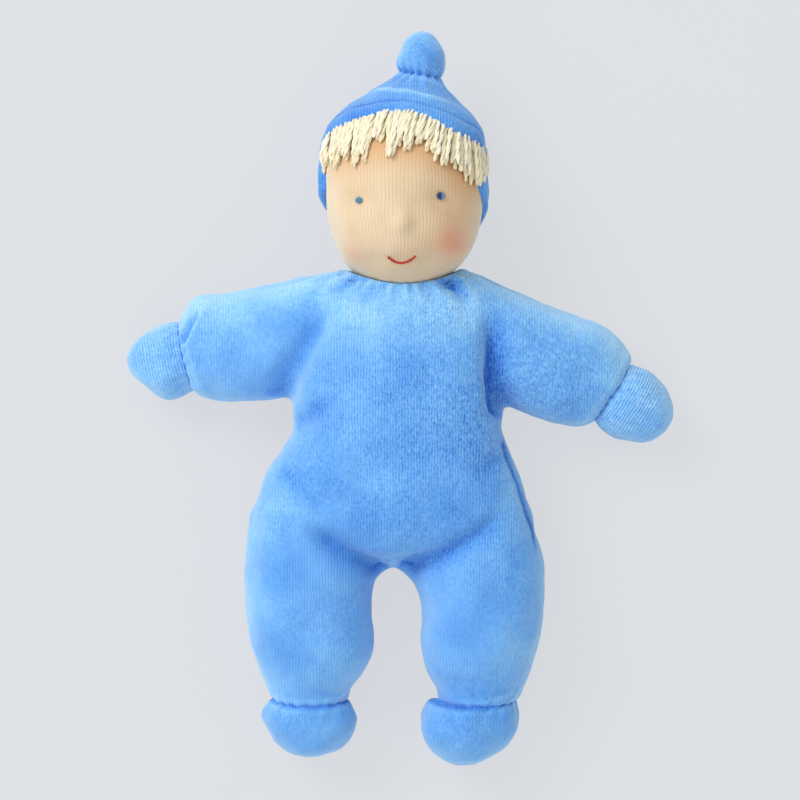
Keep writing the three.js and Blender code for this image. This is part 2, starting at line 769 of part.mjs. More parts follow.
piece("torso_front_panel", torsoCover.intersect(beyond(seamFront, Z_AXIS)), velour);
piece("torso_back_panel", torsoCover.intersect(beyond(seamBack, DOWN)), velour);
piece("torso_filling", torsoFilling, wool);
piece("neckline_thread", neckRing(necklineY), thread);
piece("neck_stalk", neckStalk(), wool);
piece("neck_tie", neckRing(neckTieY), thread);
piece("head_core", headCore, wool);
piece("head_skin", headSkin.subtract(headSeat), tricot);
piece("nose_ball", ball(noseMiddle, NOSE_BALL_RADIUS, CORE_SIDES), wool);
piece("right_eye", eye(EYE_MIDDLE_X - EYE_SPREAD), eyeThread);
piece("left_eye", eye(EYE_MIDDLE_X + EYE_SPREAD), eyeThread);
piece("mouth", mouth(), redThread);
piece("hair_fringe", fringe(), yarn);
piece("cap", cap, velour);
piece("cap_knob_cover", knob.cover, velour);
piece("cap_knob_filling", knob.filling, wool);
piece("cap_knob_gather", knob.gather, thread);

for (const side of ["right", "left"]) {
  const { sleeve, armFilling, hand } = armParts(arms[side]);
  piece(`${side}_sleeve`, sleeve, velour);
  piece(`${side}_arm_filling`, armFilling, wool);
  piece(`${side}_hand_cover`, hand.cover, velour);
  piece(`${side}_hand_filling`, hand.filling, wool);
  piece(`${side}_hand_gather`, hand.gather, thread);
  const { legCover, legFilling, foot } = legParts(legs[side]);
  piece(`${side}_leg_cover`, legCover, velour);
  piece(`${side}_leg_filling`, legFilling, wool);
  piece(`${side}_foot_cover`, laidFlat(foot.cover), velour);
  piece(`${side}_foot_filling`, foot.filling, wool);
  piece(`${side}_foot_gather`, foot.gather, thread);
}

// The origin is at the middle of the doll's underside.
const box = new THREE.Box3().setFromObject(pieces);
const middle = box.getCenter(new THREE.Vector3());
pieces.position.set(-middle.x, -middle.y, 0);

const doll = new THREE.Group();
doll.add(pieces);

export default doll;
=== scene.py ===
import math

import bpy
import numpy as np
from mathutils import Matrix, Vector


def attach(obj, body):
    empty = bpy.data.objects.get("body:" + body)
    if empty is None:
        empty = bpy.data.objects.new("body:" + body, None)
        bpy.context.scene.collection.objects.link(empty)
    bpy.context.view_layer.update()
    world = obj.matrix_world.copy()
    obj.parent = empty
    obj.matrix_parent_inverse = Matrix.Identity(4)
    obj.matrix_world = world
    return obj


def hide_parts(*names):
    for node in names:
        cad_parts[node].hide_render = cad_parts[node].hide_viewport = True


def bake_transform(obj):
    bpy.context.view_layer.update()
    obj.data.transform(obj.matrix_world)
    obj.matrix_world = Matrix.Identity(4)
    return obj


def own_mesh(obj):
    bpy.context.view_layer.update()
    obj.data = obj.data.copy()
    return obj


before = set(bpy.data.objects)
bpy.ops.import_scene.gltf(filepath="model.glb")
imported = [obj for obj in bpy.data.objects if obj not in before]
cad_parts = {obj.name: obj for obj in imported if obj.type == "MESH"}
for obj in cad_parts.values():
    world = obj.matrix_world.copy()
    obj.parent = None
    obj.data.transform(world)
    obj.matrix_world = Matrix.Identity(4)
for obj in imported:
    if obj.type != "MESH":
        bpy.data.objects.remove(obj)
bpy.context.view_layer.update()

# Everything below is laid out in millimetres in the row frame: +X towards the doll's left hand, +Y towards
# its head, +Z up out of its belly. px() turns a place in the 800 x 800 photograph into that frame.
MM = 0.001
PIXEL = 0.4093
PHOTO_SIZE = 800
MIDDLE = PHOTO_SIZE / 2
SHIFT_X = -0.07
SHIFT_Y = 0.04
PLANE_Z = 25
CAMERA_RISE = 2400


def px_x(column):
    return (column - MIDDLE) * PIXEL + SHIFT_X


def px_y(row):
    return (MIDDLE - row) * PIXEL + SHIFT_Y


def px(column, row):
    return px_x(column), px_y(row)


def seen(column, row, z):
    """The place at height z that the camera sees at this pixel."""
    near = 1 - (z - PLANE_Z) / CAMERA_RISE
    return SHIFT_X + (column - MIDDLE) * PIXEL * near, SHIFT_Y + (MIDDLE - row) * PIXEL * near


# Camera: straight down over the doll, as the photograph is taken

camera = bpy.data.objects.new("camera", bpy.data.cameras.new("camera"))
camera.data.sensor_width = 36
camera.data.lens = camera.data.sensor_width * CAMERA_RISE / (PHOTO_SIZE * PIXEL)
camera.data.clip_end = 50
camera.location = (SHIFT_X * MM, SHIFT_Y * MM, (PLANE_Z + CAMERA_RISE) * MM)
bpy.context.scene.collection.objects.link(camera)
bpy.context.scene.camera = camera
bpy.context.scene.view_settings.view_transform = "Standard"


# Fields on a grid of points, negative inside a form, and the skins drawn over them

GRID_FOOT = -1.5
FLOOR_GAP = 0.4
FLOOR_EDGE = 1.5
LOWEST = 0.3


class Space:
    def __init__(self, lo, hi, step):
        self.lo = np.array(lo, float)
        self.step = step
        sizes = np.ceil((np.array(hi, float) - self.lo) / step).astype(int) + 1
        ticks = [self.lo[i] + step * np.arange(sizes[i]) for i in range(3)]
        self.x = ticks[0][:, None, None].astype(np.float32)
        self.y = ticks[1][None, :, None].astype(np.float32)
        self.z = ticks[2][None, None, :].astype(np.float32)


def curve(table, at):
    """A smooth line through the table's (position, value) pairs, read at the positions asked for."""
    positions, values = np.array(table, float).T
    order = np.argsort(positions)
    positions, values = positions[order], values[order]
    dense = np.linspace(positions[0], positions[-1], 400)
    slopes = np.gradient(values, positions)
    left = np.clip(np.searchsorted(positions, dense) - 1, 0, len(positions) - 2)
    span = positions[left + 1] - positions[left]
    t = (dense - positions[left]) / span
    h0 = 2 * t**3 - 3 * t**2 + 1
    h1 = t**3 - 2 * t**2 + t
    line = h0 * values[left] + h1 * span * slopes[left]
    line += (1 - h0) * values[left + 1] + (t**3 - t**2) * span * slopes[left + 1]
    return np.interp(at, dense, line)


def along_table(table, at):
    """Straight lines through the table's (position, value) pairs, read at the positions asked for."""
    return np.interp(at, *np.array(table, float).T)


def smooth(value):
    value = np.clip(value, 0, 1)
    return value * value * (3 - 2 * value)


def bell(distance, width):
    return np.exp(-((distance / width) ** 2))


def patch(x, y, wide, tall):
    return bell(x, wide) * bell(y, tall)


def union(a, b, soft):
    h = np.maximum(soft - np.abs(a - b), 0) / soft
    return np.minimum(a, b) - h * h * soft / 4


def within(a, b, soft):
    """What lies inside both forms, with the edge between them rounded."""
    h = np.maximum(soft - np.abs(a - b), 0) / soft
    return np.maximum(a, b) + h * h * soft / 4


def cut(a, b, soft):
    """The form a without the form b, with the edge between them rounded."""
    return within(a, -b, soft)


def above_floor(space, field):
    return cut(field, space.z - FLOOR_GAP, FLOOR_EDGE)


def section(across, depth, half_across, half_depth, power):
    w = np.maximum(half_across, 0.3)
    d = np.maximum(half_depth, 0.3)
    size = (np.abs(across) / w) ** power + (np.abs(depth) / d) ** power
    return (size ** (1 / power) - 1) * np.minimum(w, d)


def solid(across, z, along, table, power):
    """A form from rows of (place along, lower edge, upper edge, height of middle, half depth)."""
    low, high, middle, depth = [curve(table[:, [0, i]], along) for i in range(1, 5)]
    field = section(across - (low + high) / 2, z - middle, (high - low) / 2, depth, power)
    ends = np.maximum(table[:, 0].min() - along, along - table[:, 0].max())
    return np.maximum(field, ends).astype(np.float32)


def rows_form(space, table, power=2.15):
    """A form from rows of the photograph: (row, left column, right column, height of middle, half depth)."""
    table = np.array(table, float)
    table[:, 0] = px_y(table[:, 0])
    table[:, 1:3] = px_x(table[:, 1:3])
    return solid(space.x, space.z, space.y, table, power)


class Limb:
    """Places along and across a limb, in the plane that the doll lies in."""

    def __init__(self, origin, along):
        self.origin = np.array(origin, float)
        self.along = np.array(along, float) / np.hypot(*along)
        self.up = np.array([-self.along[1], self.along[0]])
        if self.up[1] < 0:
            self.up = -self.up

    def split(self, x, y):
        dx, dy = x - self.origin[0], y - self.origin[1]
        return dx * self.along[0] + dy * self.along[1], dx * self.up[0] + dy * self.up[1]

    def form(self, space, table, power=2.15):
        along, across = self.split(space.x, space.y)
        return solid(across, space.z, along, np.array(table, float), power)


def skin(space, field, rounds=3):
    """The surface where the field is nothing, as evenly spaced points and four-sided faces."""
    inside = field < 0
    nx, ny, nz = field.shape
    count = np.zeros((nx - 1, ny - 1, nz - 1), np.uint8)
    corners = [np.array([i, j, k]) for i in (0, 1) for j in (0, 1) for k in (0, 1)]
    for i, j, k in corners:
        count += inside[i : nx - 1 + i, j : ny - 1 + j, k : nz - 1 + k]
    active = (count > 0) & (count < 8)
    cells = np.argwhere(active)
    index = np.full(active.shape, -1, np.int64)
    index[active] = np.arange(len(cells))
    total = np.zeros((len(cells), 3))
    found = np.zeros(len(cells))
    for a in corners:
        for b in corners:
            if (b - a).min() < 0 or (b - a).sum() != 1:
                continue
            fa = field[tuple((cells + a).T)].astype(float)
            fb = field[tuple((cells + b).T)].astype(float)
            crossed = (fa < 0) != (fb < 0)
            t = np.where(crossed, fa / np.where(crossed, fa - fb, 1), 0)
            total += crossed[:, None] * (a + t[:, None] * (b - a))
            found += crossed
    points = space.lo + (cells + total / found[:, None]) * space.step
    faces = []
    for axis in range(3):
        u, v = (axis + 1) % 3, (axis + 2) % 3
        first = np.moveaxis(np.moveaxis(inside, axis, 0)[:-1], 0, axis)
        second = np.moveaxis(np.moveaxis(inside, axis, 0)[1:], 0, axis)
        at = np.argwhere(first != second)
        at = at[(at[:, u] > 0) & (at[:, v] > 0)]
        at = at[(at[:, u] < field.shape[u] - 1) & (at[:, v] < field.shape[v] - 1)]
        ring = []
        for back_u, back_v in ((1, 1), (0, 1), (0, 0), (1, 0)):
            cell = at.copy()
            cell[:, u] -= back_u
            cell[:, v] -= back_v
            ring.append(index[tuple(cell.T)])
        quads = np.stack(ring, 1)
        turned = ~inside[tuple(at.T)]
        quads[turned] = quads[turned][:, ::-1]
        faces.append(quads)
    quads = np.concatenate(faces)
    for _ in range(rounds):
        points = relax(points, quads, 0.5)
        points = relax(points, quads, -0.52)
    return points, quads


def edges_of(quads):
    pairs = np.concatenate([quads[:, [i, (i + 1) % 4]] for i in range(4)])
    return np.unique(np.sort(pairs, 1), axis=0)


def relax(points, quads, share):
    a, b = edges_of(quads).T
    n = len(points)
    count = np.bincount(a, minlength=n) + np.bincount(b, minlength=n)
    sums = [np.bincount(a, points[b, i], n) + np.bincount(b, points[a, i], n) for i in range(3)]
    mean = np.stack(sums, 1)
    return points + share * (mean / np.maximum(count, 1)[:, None] - points)


def normals_of(points, quads):
    p = points[quads]
    face = np.cross(p[:, 2] - p[:, 0], p[:, 3] - p[:, 1])
    n = len(points)
    total = np.zeros((n, 3))
    for corner in range(4):
        for i in range(3):
            total[:, i] += np.bincount(quads[:, corner], face[:, i], n)
    return total / np.maximum(np.linalg.norm(total, axis=1), 1e-9)[:, None]


def pushed(points, amount, normals):
    """The points moved outwards, but not down to the floor."""
    points = points + amount[:, None] * normals
    points[:, 2] = np.maximum(points[:, 2], LOWEST)
    return points


def flank(normals):
    """How much each point faces sideways, 0 to 1."""
    x, z = normals[:, 0] ** 2, normals[:, 2] ** 2
    return np.clip((x / (x + z + 1e-6) - 0.35) / 0.3, 0, 1)


# Unevenness of a stuffed form, folds and gathers


def lumps(points, length, seed, count=14):
    """Smooth uneven values, about -1 to 1, whose ups and downs are about the given length."""
    rng = np.random.default_rng(seed)
    directions = rng.normal(size=(count, 3))
    directions /= np.linalg.norm(directions, axis=1)[:, None]
    scales = rng.uniform(0.7, 1.4, count)
    phases = rng.uniform(0, 2 * np.pi, count)
    waves = np.sin(points @ (directions * scales[:, None]).T * (2 * np.pi / length) + phases)
    return waves.sum(1) / math.sqrt(count)


def near(points, line):
    """Distance in the doll's plane from each point to a line of photograph places, and the share along it."""
    line = np.array([px(*p) for p in line])
    steps = np.diff(line, axis=0)
    lengths = np.hypot(*steps.T)
    starts = np.concatenate([[0], np.cumsum(lengths)[:-1]])
    best = np.full(len(points), 1e9)
    share = np.zeros(len(points))
    for start, step, length, begun in zip(line, steps, lengths, starts):
        rel = points[:, :2] - start
        t = np.clip(rel @ step / length**2, 0, 1)
        distance = np.hypot(*(rel - t[:, None] * step).T)
        closer = distance < best
        best[closer] = distance[closer]
        share[closer] = (begun + t[closer] * length) / lengths.sum()
    return best, share


def fold(points, normals, line, width, fade=(0.15, 0.15), facing=0.1):
    """How deep each point lies in a fold along the line, 0 to 1, on the side that faces up."""
    distance, share = near(points, line)
    first, last = np.maximum(fade, 1e-3)
    ends = smooth(np.clip(share / first, 0, 1) * np.clip((1 - share) / last, 0, 1))
    up = np.clip((normals[:, 2] - facing) / 0.3, 0, 1)
    return bell(distance, width) * ends * up


# Pieces


def add_piece(name, points, faces, material, normals=None, values=None, cloth=None):
    """A mesh in metres whose points keep their places at rest, for a pattern that stays on the cloth."""
    mesh = bpy.data.meshes.new(name)
    mesh.from_pydata((points * MM).tolist(), [], faces.tolist())
    mesh.polygons.foreach_set("use_smooth", np.ones(len(faces), bool))
    cloth_map = mesh.attributes.new("cloth", "FLOAT_VECTOR", "POINT")
    where = points if cloth is None else cloth
    cloth_map.data.foreach_set("vector", (where * MM).astype(np.float32).ravel())
    for key, value in (values or {}).items():
        attribute = mesh.attributes.new(key, "FLOAT", "POINT")
        attribute.data.foreach_set("value", value.astype(np.float32))
    mesh.materials.append(material)
    mesh.update()
    if normals is not None:
        mesh.normals_split_custom_set_from_vertices(normals.tolist())
    piece = bpy.data.objects.new(name, mesh)
    bpy.context.scene.collection.objects.link(piece)
    return piece


def part_of(chosen, points, faces, *values):
    """The chosen faces, with only the points that they use."""
    faces = faces[chosen]
    used, faces = np.unique(faces, return_inverse=True)
    return (points[used], faces.reshape(-1, 4), *[value[used] for value in values])


def declare(piece, body, slot, fill, *nodes):
    """Puts a piece on its body, if one is given, and hides the CAD nodes that it replaces. Its material slot
    and, if it is stuffed, how full it is are not used.
    """
    if body:
        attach(piece, body)
    if nodes:
        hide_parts(*nodes)


# Materials


class Value:
    """A number that a material's nodes work out, for use in sums and products."""

    def __init__(self, material, socket):
        self.material, self.socket = material, socket

    def __add__(self, other):
        return self.material.math("ADD", self, other)

    def __radd__(self, other):
        return self.material.math("ADD", other, self)

    def __sub__(self, other):
        return self.material.math("SUBTRACT", self, other)

    def __rsub__(self, other):
        return self.material.math("SUBTRACT", other, self)

    def __mul__(self, other):
        return self.material.math("MULTIPLY", self, other)

    def __pow__(self, other):
        return self.material.math("POWER", self, other)


class Material:
    def __init__(self, name):
        self.material = bpy.data.materials.new(name)
        self.material.use_nodes = True
        self.tree = self.material.node_tree
        self.shader = self.tree.nodes["Principled BSDF"]
        self.put("Specular IOR Level", 0.25)

    def node(self, kind, **settings):
        node = self.tree.nodes.new("ShaderNode" + kind)
        for key, value in settings.items():
            setattr(node, key, value)
        return node

    def put(self, socket, value):
        """Sets or links a socket. A name means that socket of the shader."""
        if isinstance(socket, str):
            socket = self.shader.inputs[socket]
        if isinstance(value, Value):
            value = value.socket
        if isinstance(value, bpy.types.NodeSocket):
            self.tree.links.new(value, socket)
        else:
            socket.default_value = value

    def math(self, operation, *values):
        node = self.node("Math", operation=operation)
        for socket, value in zip(node.inputs, values):
            self.put(socket, value)
        return Value(self, node.outputs[0])

    def value(self, name):
        return Value(self, self.node("Attribute", attribute_name=name).outputs["Fac"])

    def cloth(self):
        return self.node("Attribute", attribute_name="cloth").outputs["Vector"]

    def split(self, vector):
        node = self.node("SeparateXYZ")
        self.put(node.inputs[0], vector)
        return [Value(self, output) for output in node.outputs]

    def noise(self, vector, per_metre, detail=2.0, rough=0.5):
        node = self.node("TexNoise")
        self.put(node.inputs["Vector"], vector)
        node.inputs["Scale"].default_value = per_metre
        node.inputs["Detail"].default_value = detail
        node.inputs["Roughness"].default_value = rough
        return Value(self, node.outputs["Fac"])

    def mix(self, share, a, b):
        node = self.node("Mix", data_type="RGBA")
        for socket, value in zip((0, 6, 7), (share, a, b)):
            self.put(node.inputs[socket], value)
        return node.outputs[2]

    def ramp(self, value, stops):
        node = self.node("ValToRGB")
        self.put(node.inputs[0], value)
        elements = node.color_ramp.elements
        while len(elements) < len(stops):
            elements.new(0.5)
        for element, (place, colour) in zip(elements, stops):
            element.position = place
            element.color = srgb(*colour)
        return node.outputs["Color"]

    def painted_sheen(self, power, strength):
        """How much painted sheen shows as a pale edge: all the more, the more the surface turns away."""
        return Value(self, self.node("LayerWeight").outputs["Facing"]) ** power * strength

    def sheen(self, weight, rough, tint=(255, 255, 255)):
        self.put("Sheen Weight", weight)
        self.put("Sheen Roughness", rough)
        self.put("Sheen Tint", srgb(*tint))

    def bump(self, height, distance, strength):
        node = self.node("Bump")
        node.inputs["Strength"].default_value = strength
        node.inputs["Distance"].default_value = distance
        self.put(node.inputs["Height"], height)
        self.put("Normal", node.outputs[0])


def srgb(red, green, blue):
    values = []
    for value in (red, green, blue):
        v = value / 255
        values.append(v / 12.92 if v <= 0.04045 else ((v + 0.055) / 1.055) ** 2.4)
    return (*values, 1)


VELOUR_RIB = 1.2
TRICOT_RIB = 1.6
TRICOT_STITCH = 1.1


def ribs(m, position, spacing, wobble):
    """Ribs that run along the doll, from -1 to 1. On flanks, which face sideways, they follow depth."""
    uneven = (m.noise(position, 160) - 0.5) * (wobble * MM)
    x, _, z = m.split(position)
    turns = 2 * math.pi / (spacing * MM)
    over = m.math("SINE", (x + uneven) * turns)
    beside = m.math("SINE", (z + uneven) * turns)
    side = m.value("side")
    return over * (1.0 - side) + beside * side


def velour_material():
    m = Material("blue_velour")
    position = m.cloth()
    drawn = m.node("VectorMath", operation="MULTIPLY")
    m.put(drawn.inputs[0], position)
    drawn.inputs[1].default_value = (1.3, 0.75, 1.0)
    drawn = drawn.outputs[0]
    rib = ribs(m, position, VELOUR_RIB, 1.1) * m.value("ribbed")
    fine = m.noise(drawn, 950, 3, 0.65) - 0.5
    tufts = m.noise(drawn, 430, 2, 0.5) - 0.5
    nap = (fine + tufts * 0.32) * m.value("rough")
    patches = m.noise(position, 38, 3, 0.5) - 0.5
    # The fold value paints the colour darker: painted shade in creases, seams, gathers and under the chin,
    # painted highlight where it is negative, and tone that changes over the cloth
    tone = 0.5 + patches * 0.68 + nap * 1.15 + rib * 0.075 - m.value("fold") * 0.37
    blues = [
        (0.0, (44, 98, 196)),
        (0.3, (86, 150, 226)),
        (0.5, (108, 171, 238)),
        (0.75, (138, 197, 246)),
        (1.0, (178, 220, 252)),
    ]
    # Painted sheen: a pale edge where the cloth turns away, held back where the cloth is painted darker
    creased = m.math("MAXIMUM", m.value("fold"), 0.0)
    painted_sheen = m.painted_sheen(1.9, 0.95) * (1.0 - creased * 0.9)
    m.put("Base Color", m.mix(painted_sheen, m.ramp(tone, blues), srgb(188, 227, 253)))
    m.put("Roughness", 0.9)
    m.put("Specular IOR Level", 0.1)
    m.sheen(0.15, 0.4, (160, 210, 255))
    m.bump(rib * 0.22 + nap * 1.3, 0.0003, 0.65)
    return m.material


def tricot_material():
    m = Material("beige_tricot")
    position = m.cloth()
    x, y, _ = m.split(position)
    uneven = (m.noise(position, 130) - 0.5) * (1.6 * MM)
    wale = m.math("ABSOLUTE", m.math("SINE", (x + uneven) * (math.pi / (TRICOT_RIB * MM))))
    stitch = y * (2 * math.pi / (TRICOT_STITCH * MM)) + wale * 1.6
    loops = m.math("SINE", stitch) * 0.08
    fuzz = m.noise(position, 1500, 3, 0.6)
    worn = m.math("MULTIPLY_ADD", m.noise(position, 70, 2, 0.5), 1.4, -0.2)
    height = (wale**0.6 + loops) * worn
    patches = m.noise(position, 45, 2, 0.5) - 0.5
    beiges = [
        (0.1, (204, 171, 134)),
        (0.4, (222, 199, 165)),
        (0.65, (230, 213, 184)),
        (1.0, (238, 227, 205)),
    ]
    colour = m.ramp(height * 0.4 + fuzz * 0.5 + patches * 0.35, beiges)
    # Painted shade in a warmer orange, under the fringe and on the face's shaded side
    painted_warm_shade = m.mix(m.value("painted_warm_shade"), colour, srgb(210, 152, 92))
    rosy = m.mix(m.value("blush"), painted_warm_shade, srgb(226, 122, 98))
    # Painted sheen: a pale edge where the knit turns away
    m.put("Base Color", m.mix(m.painted_sheen(2.0, 0.75), rosy, srgb(244, 238, 214)))
    m.put("Roughness", 0.85)
    m.sheen(0.12, 0.5)
    m.bump(height + fuzz * 0.4, 0.00018, 0.7)
    return m.material


def yarn_material():
    m = Material("cream_wool_yarn")
    fibres = m.noise(m.cloth(), 1800, 3, 0.65)
    creams = [
        (0.0, (204, 180, 126)),
        (0.4, (232, 217, 178)),
        (0.7, (243, 234, 206)),
        (1.0, (250, 246, 230)),
    ]
    # The tint paints shade on the fringe's lower layers, under the upper ones
    m.put("Base Color", m.ramp(m.value("tint") * 0.55 + fibres * 0.5, creams))
    m.put("Roughness", 0.9)
    m.sheen(0.25, 0.5)
    m.bump(fibres, 0.0003, 0.6)
    return m.material


def thread_material(name, dark, light):
    m = Material(name)
    fibres = m.noise(m.cloth(), 2600, 2, 0.6)
    m.put("Base Color", m.ramp(fibres, [(0.3, dark), (0.7, light)]))
    m.put("Roughness", 0.55)
    m.put("Sheen Weight", 0.15)
    m.bump(fibres, 0.00012, 0.6)
    return m.material


velour = velour_material()
tricot = tricot_material()
yarn = yarn_material()
red_thread = thread_material("red_thread", (150, 34, 24), (206, 62, 46))
teal_thread = thread_material("teal_thread", (38, 96, 128), (104, 160, 186))
navy_thread = thread_material("navy_thread", (18, 46, 84), (50, 92, 138))
violet_thread = thread_material("violet_thread", (88, 116, 164), (150, 172, 208))


# The head's form, which the cap, the fringe and the neckline also follow

HEAD_X = px_x(404.6)
HEAD_Y = px_y(190)
HEAD_Z = 36
HEAD_WIDE = 32.2
HEAD_DEEP = 33
HEAD_ABOVE = 40
HEAD_BELOW = 41.5
HEAD_POWER = 2.2
NECK = np.array([0.73, 50.04, 32])
NECK_BALL = 13.4
NECK_PIT = 14.0
NECK_ROOM = 14.2
TURNS = (-30, -15, 0, 15, 30)
NODS = (-12, -6, 0, 7.5, 15)


def head_tall(y):
    return np.where(y < HEAD_Y, HEAD_BELOW, HEAD_ABOVE)


def head_middle(y):
    """The middle of the head at a height: the chin draws in towards the neck that it turns on."""
    chin = smooth((62 - y) / 12)
    return HEAD_X - 0.7 * chin, HEAD_Z - 3 * chin


def head_share(y):
    """How wide the head is at a height, as a share of its full width."""
    up = np.clip(np.abs(y - HEAD_Y) / head_tall(y), 0, 1)
    return (1 - up**HEAD_POWER) ** (1 / HEAD_POWER)


def head_field(x, y, z, room=0.0):
    middle_x, middle_z = head_middle(y)
    across = np.abs(x - middle_x) / (HEAD_WIDE + room)
    deep = np.abs(z - middle_z) / (HEAD_DEEP + room)
    tall = np.abs(y - HEAD_Y) / (head_tall(y) + room)
    round_share = np.sqrt(across**2 + deep**2)
    size = (round_share**HEAD_POWER + tall**HEAD_POWER) ** (1 / HEAD_POWER)
    return (size - 1) * (HEAD_DEEP + room)


def on_head(angle, y, lift):
    """A point over the head: angle is 0 at the front and grows towards the doll's left."""
    share = head_share(y)
    wide, deep = HEAD_WIDE * share, HEAD_DEEP * share
    slope = (head_share(y + 0.5) - head_share(y - 0.5)) * HEAD_DEEP
    n = np.stack([np.sin(angle) * deep, -slope * np.maximum(wide, 1), np.cos(angle) * wide], -1)
    n /= np.linalg.norm(n, axis=-1)[..., None]
    middle_x, middle_z = head_middle(y)
    p = np.stack([middle_x + wide * np.sin(angle), y + 0 * angle, middle_z + deep * np.cos(angle)], -1)
    return p + lift[..., None] * n


def nodded(x, y, z, turn, nod):
    """The places that reach x, y, z when the head nods and turns by these degrees."""
    t, a = math.radians(-turn), math.radians(-nod)
    x, y, z = x - NECK[0], y - NECK[1], z - NECK[2]
    x, z = x * math.cos(t) + z * math.sin(t), -x * math.sin(t) + z * math.cos(t)
    y, z = y * math.cos(a) - z * math.sin(a), y * math.sin(a) + z * math.cos(a)
    return x + NECK[0], y + NECK[1], z + NECK[2]


def head_space(x, y, z, nods, room, cheeks=1.2):
    """What the head, its hood and the ball of the neck need when the head turns and nods this far."""
    field = np.sqrt((x - NECK[0]) ** 2 + (y - NECK[1]) ** 2 + (z - NECK[2]) ** 2) - NECK_ROOM
    for turn in TURNS:
        for nod in nods:
            place = nodded(x, y, z, turn, nod)
            behind = (0.5 + 0.5 * cheeks) * smooth((HEAD_Z - place[2]) / 10)
            extra = behind + cheeks * smooth((place[1] - 52) / 8)
            field = np.minimum(field, head_field(*place, room + extra))
    return field


# Romper: one skin over torso, sleeves and legs

STEP = 1.1

# How softly the sleeves and legs end at their ties and join the torso
WRIST_EDGE, ANKLE_EDGE = 4.5, 3.2
SHOULDER_FILLET, HIP_FILLET = 5, 7
TORSO_POWER = 2.3
TORSO_ROWS = [
    (270, 352, 456, 30, 5),
    (273, 335, 463, 30, 11),
    (278, 317, 475, 29.8, 15.5),
    (286, 304, 484, 29.4, 18.8),
    (296, 299, 491, 29, 21),
    (310, 297, 495, 28.6, 23),
    (330, 297, 499, 28.1, 24.6),
    (352, 297, 501, 27.8, 25.8),
    (380, 295, 502, 27.6, 26.8),
    (412, 292.5, 502.5, 27.5, 27.2),
    (430, 291.5, 502, 27.5, 27.4),
    (448, 282.5, 508, 27.5, 27.4),
    (464, 272.5, 514.5, 27.5, 27.4),
    (484, 264, 522, 27.3, 27.2),
    (500, 259, 526, 27, 26.8),
    (514, 260, 525, 26.7, 26.4),
    (528, 272, 514, 26.2, 25.6),
    (541, 294, 496, 25.6, 23.6),
    (554, 326, 464, 25, 20),
    (562, 362, 428, 24.6, 14),
    (566, 388, 402, 24.4, 7),
]
# Rows of both legs: row, edges of the right leg, edges of the left leg, height of middle, half depth
LEG_ROWS = [
    (490, 292, 346, 444, 498, 26, 9),
    (498, 275, 362, 428, 512, 25.5, 16.5),
    (510, 259.5, 378, 412, 525, 25, 21.6),
    (522, 251.5, 385, 404, 532.5, 24.6, 23.6),
    (536, 247, 388.5, 400.5, 537, 24.4, 24.6),
    (552, 245.5, 388, 401, 541, 24.3, 24.7),
    (568, 245, 383, 403.5, 543.5, 24.2, 24.5),
    (584, 245, 374, 413, 544, 24, 24.3),
    (600, 246, 371.5, 419, 544, 23.8, 24),
    (620, 247, 372.5, 421.5, 542.5, 23.4, 23.6),
    (640, 249.5, 373, 421, 539, 22.8, 22.8),
    (656, 254, 371, 424, 535, 22, 21.8),
    (672, 261, 363, 429, 530, 21, 20),
    (684, 266.5, 355, 436, 526, 20.2, 18.2),
    (694, 270, 350, 439, 521.5, 19.6, 16.6),
    (704, 272, 349, 440, 519, 19.2, 15.8),
]
# At the foot end each leg has a last row of its own
RIGHT_LEG_ROWS = [(row, *edges, z, d) for row, *edges, _, _, z, d in LEG_ROWS]
RIGHT_LEG_ROWS.append((716, 276, 346, 19, 15))
LEFT_LEG_ROWS = [(row, *edges, z, d) for row, _, _, *edges, z, d in LEG_ROWS]
LEFT_LEG_ROWS.append((718, 444, 515, 19, 15))
right_arm = Limb((-52.07, 23.24), (-0.988, -0.1543))
RIGHT_SLEEVE = [
    (-36, -2, 12, 27, 6),
    (-32, -7, 19.5, 26.5, 12),
    (-26, -11, 23.2, 25.8, 16.4),
    (-18, -16.5, 24.7, 24.6, 19),
    (-10, -20, 24.9, 23.2, 20.4),
    (-3, -22.3, 24.7, 22, 20.9),
    (4.8, -22.8, 24.4, 21, 20.6),
    (11.3, -22.2, 24.1, 20.2, 20),
    (17.4, -21.2, 24, 19.4, 19.2),
    (24, -19.8, 24.5, 18.4, 18.2),
    (28, -18.6, 24.1, 17.8, 17.5),
    (31, -17.2, 22.3, 17.3, 16.8),
    (34, -15.8, 19.4, 16.8, 15.8),
    (37.5, -14.4, 16.6, 16.2, 14.6),
    (44, -13.4, 14.6, 15.6, 13.6),
]
left_arm = Limb((50.93, 19.44), (0.9128, -0.4084))
LEFT_SLEEVE = [
    (-38, -2, 10, 27, 6),
    (-34, -6, 15.5, 26.5, 12),
    (-28, -9, 18.7, 25.8, 16.4),
    (-19, -13.8, 20.6, 24.6, 19),
    (-11, -17.2, 21.3, 23.2, 20.4),
    (-4, -20.2, 21.7, 22, 20.9),
    (4.4, -22.2, 22.1, 21, 20.6),
    (15, -22.2, 22.4, 19.7, 19.6),
    (24, -21, 22.7, 18.5, 18.3),
    (29, -20, 22.1, 17.7, 17.4),
    (33, -18.6, 20.9, 17.1, 16.7),
    (37, -17, 18.6, 16.4, 15.6),
    (46, -15.6, 16.2, 15.6, 14),
]

# Where each hand and foot is gathered and tied on: a point on the tie, the way that the limb runs there, and
# how far the tie bows towards the hand or foot in its middle
TIES = {
    "right_foot": (px(309.5, 706), (0, -1), 2.6),
    "left_foot": (px(478, 707), (0.06, -0.998), 2.6),
    "right_hand": (px(184.5, 355.5), (-0.978, -0.207), 1.2),
    "left_hand": (px(613.5, 392), (0.85, -0.527), 1.2),
}
# How far each of the two pieces that meet at a tie reaches into the other
TIE_OVERLAP = 0.8


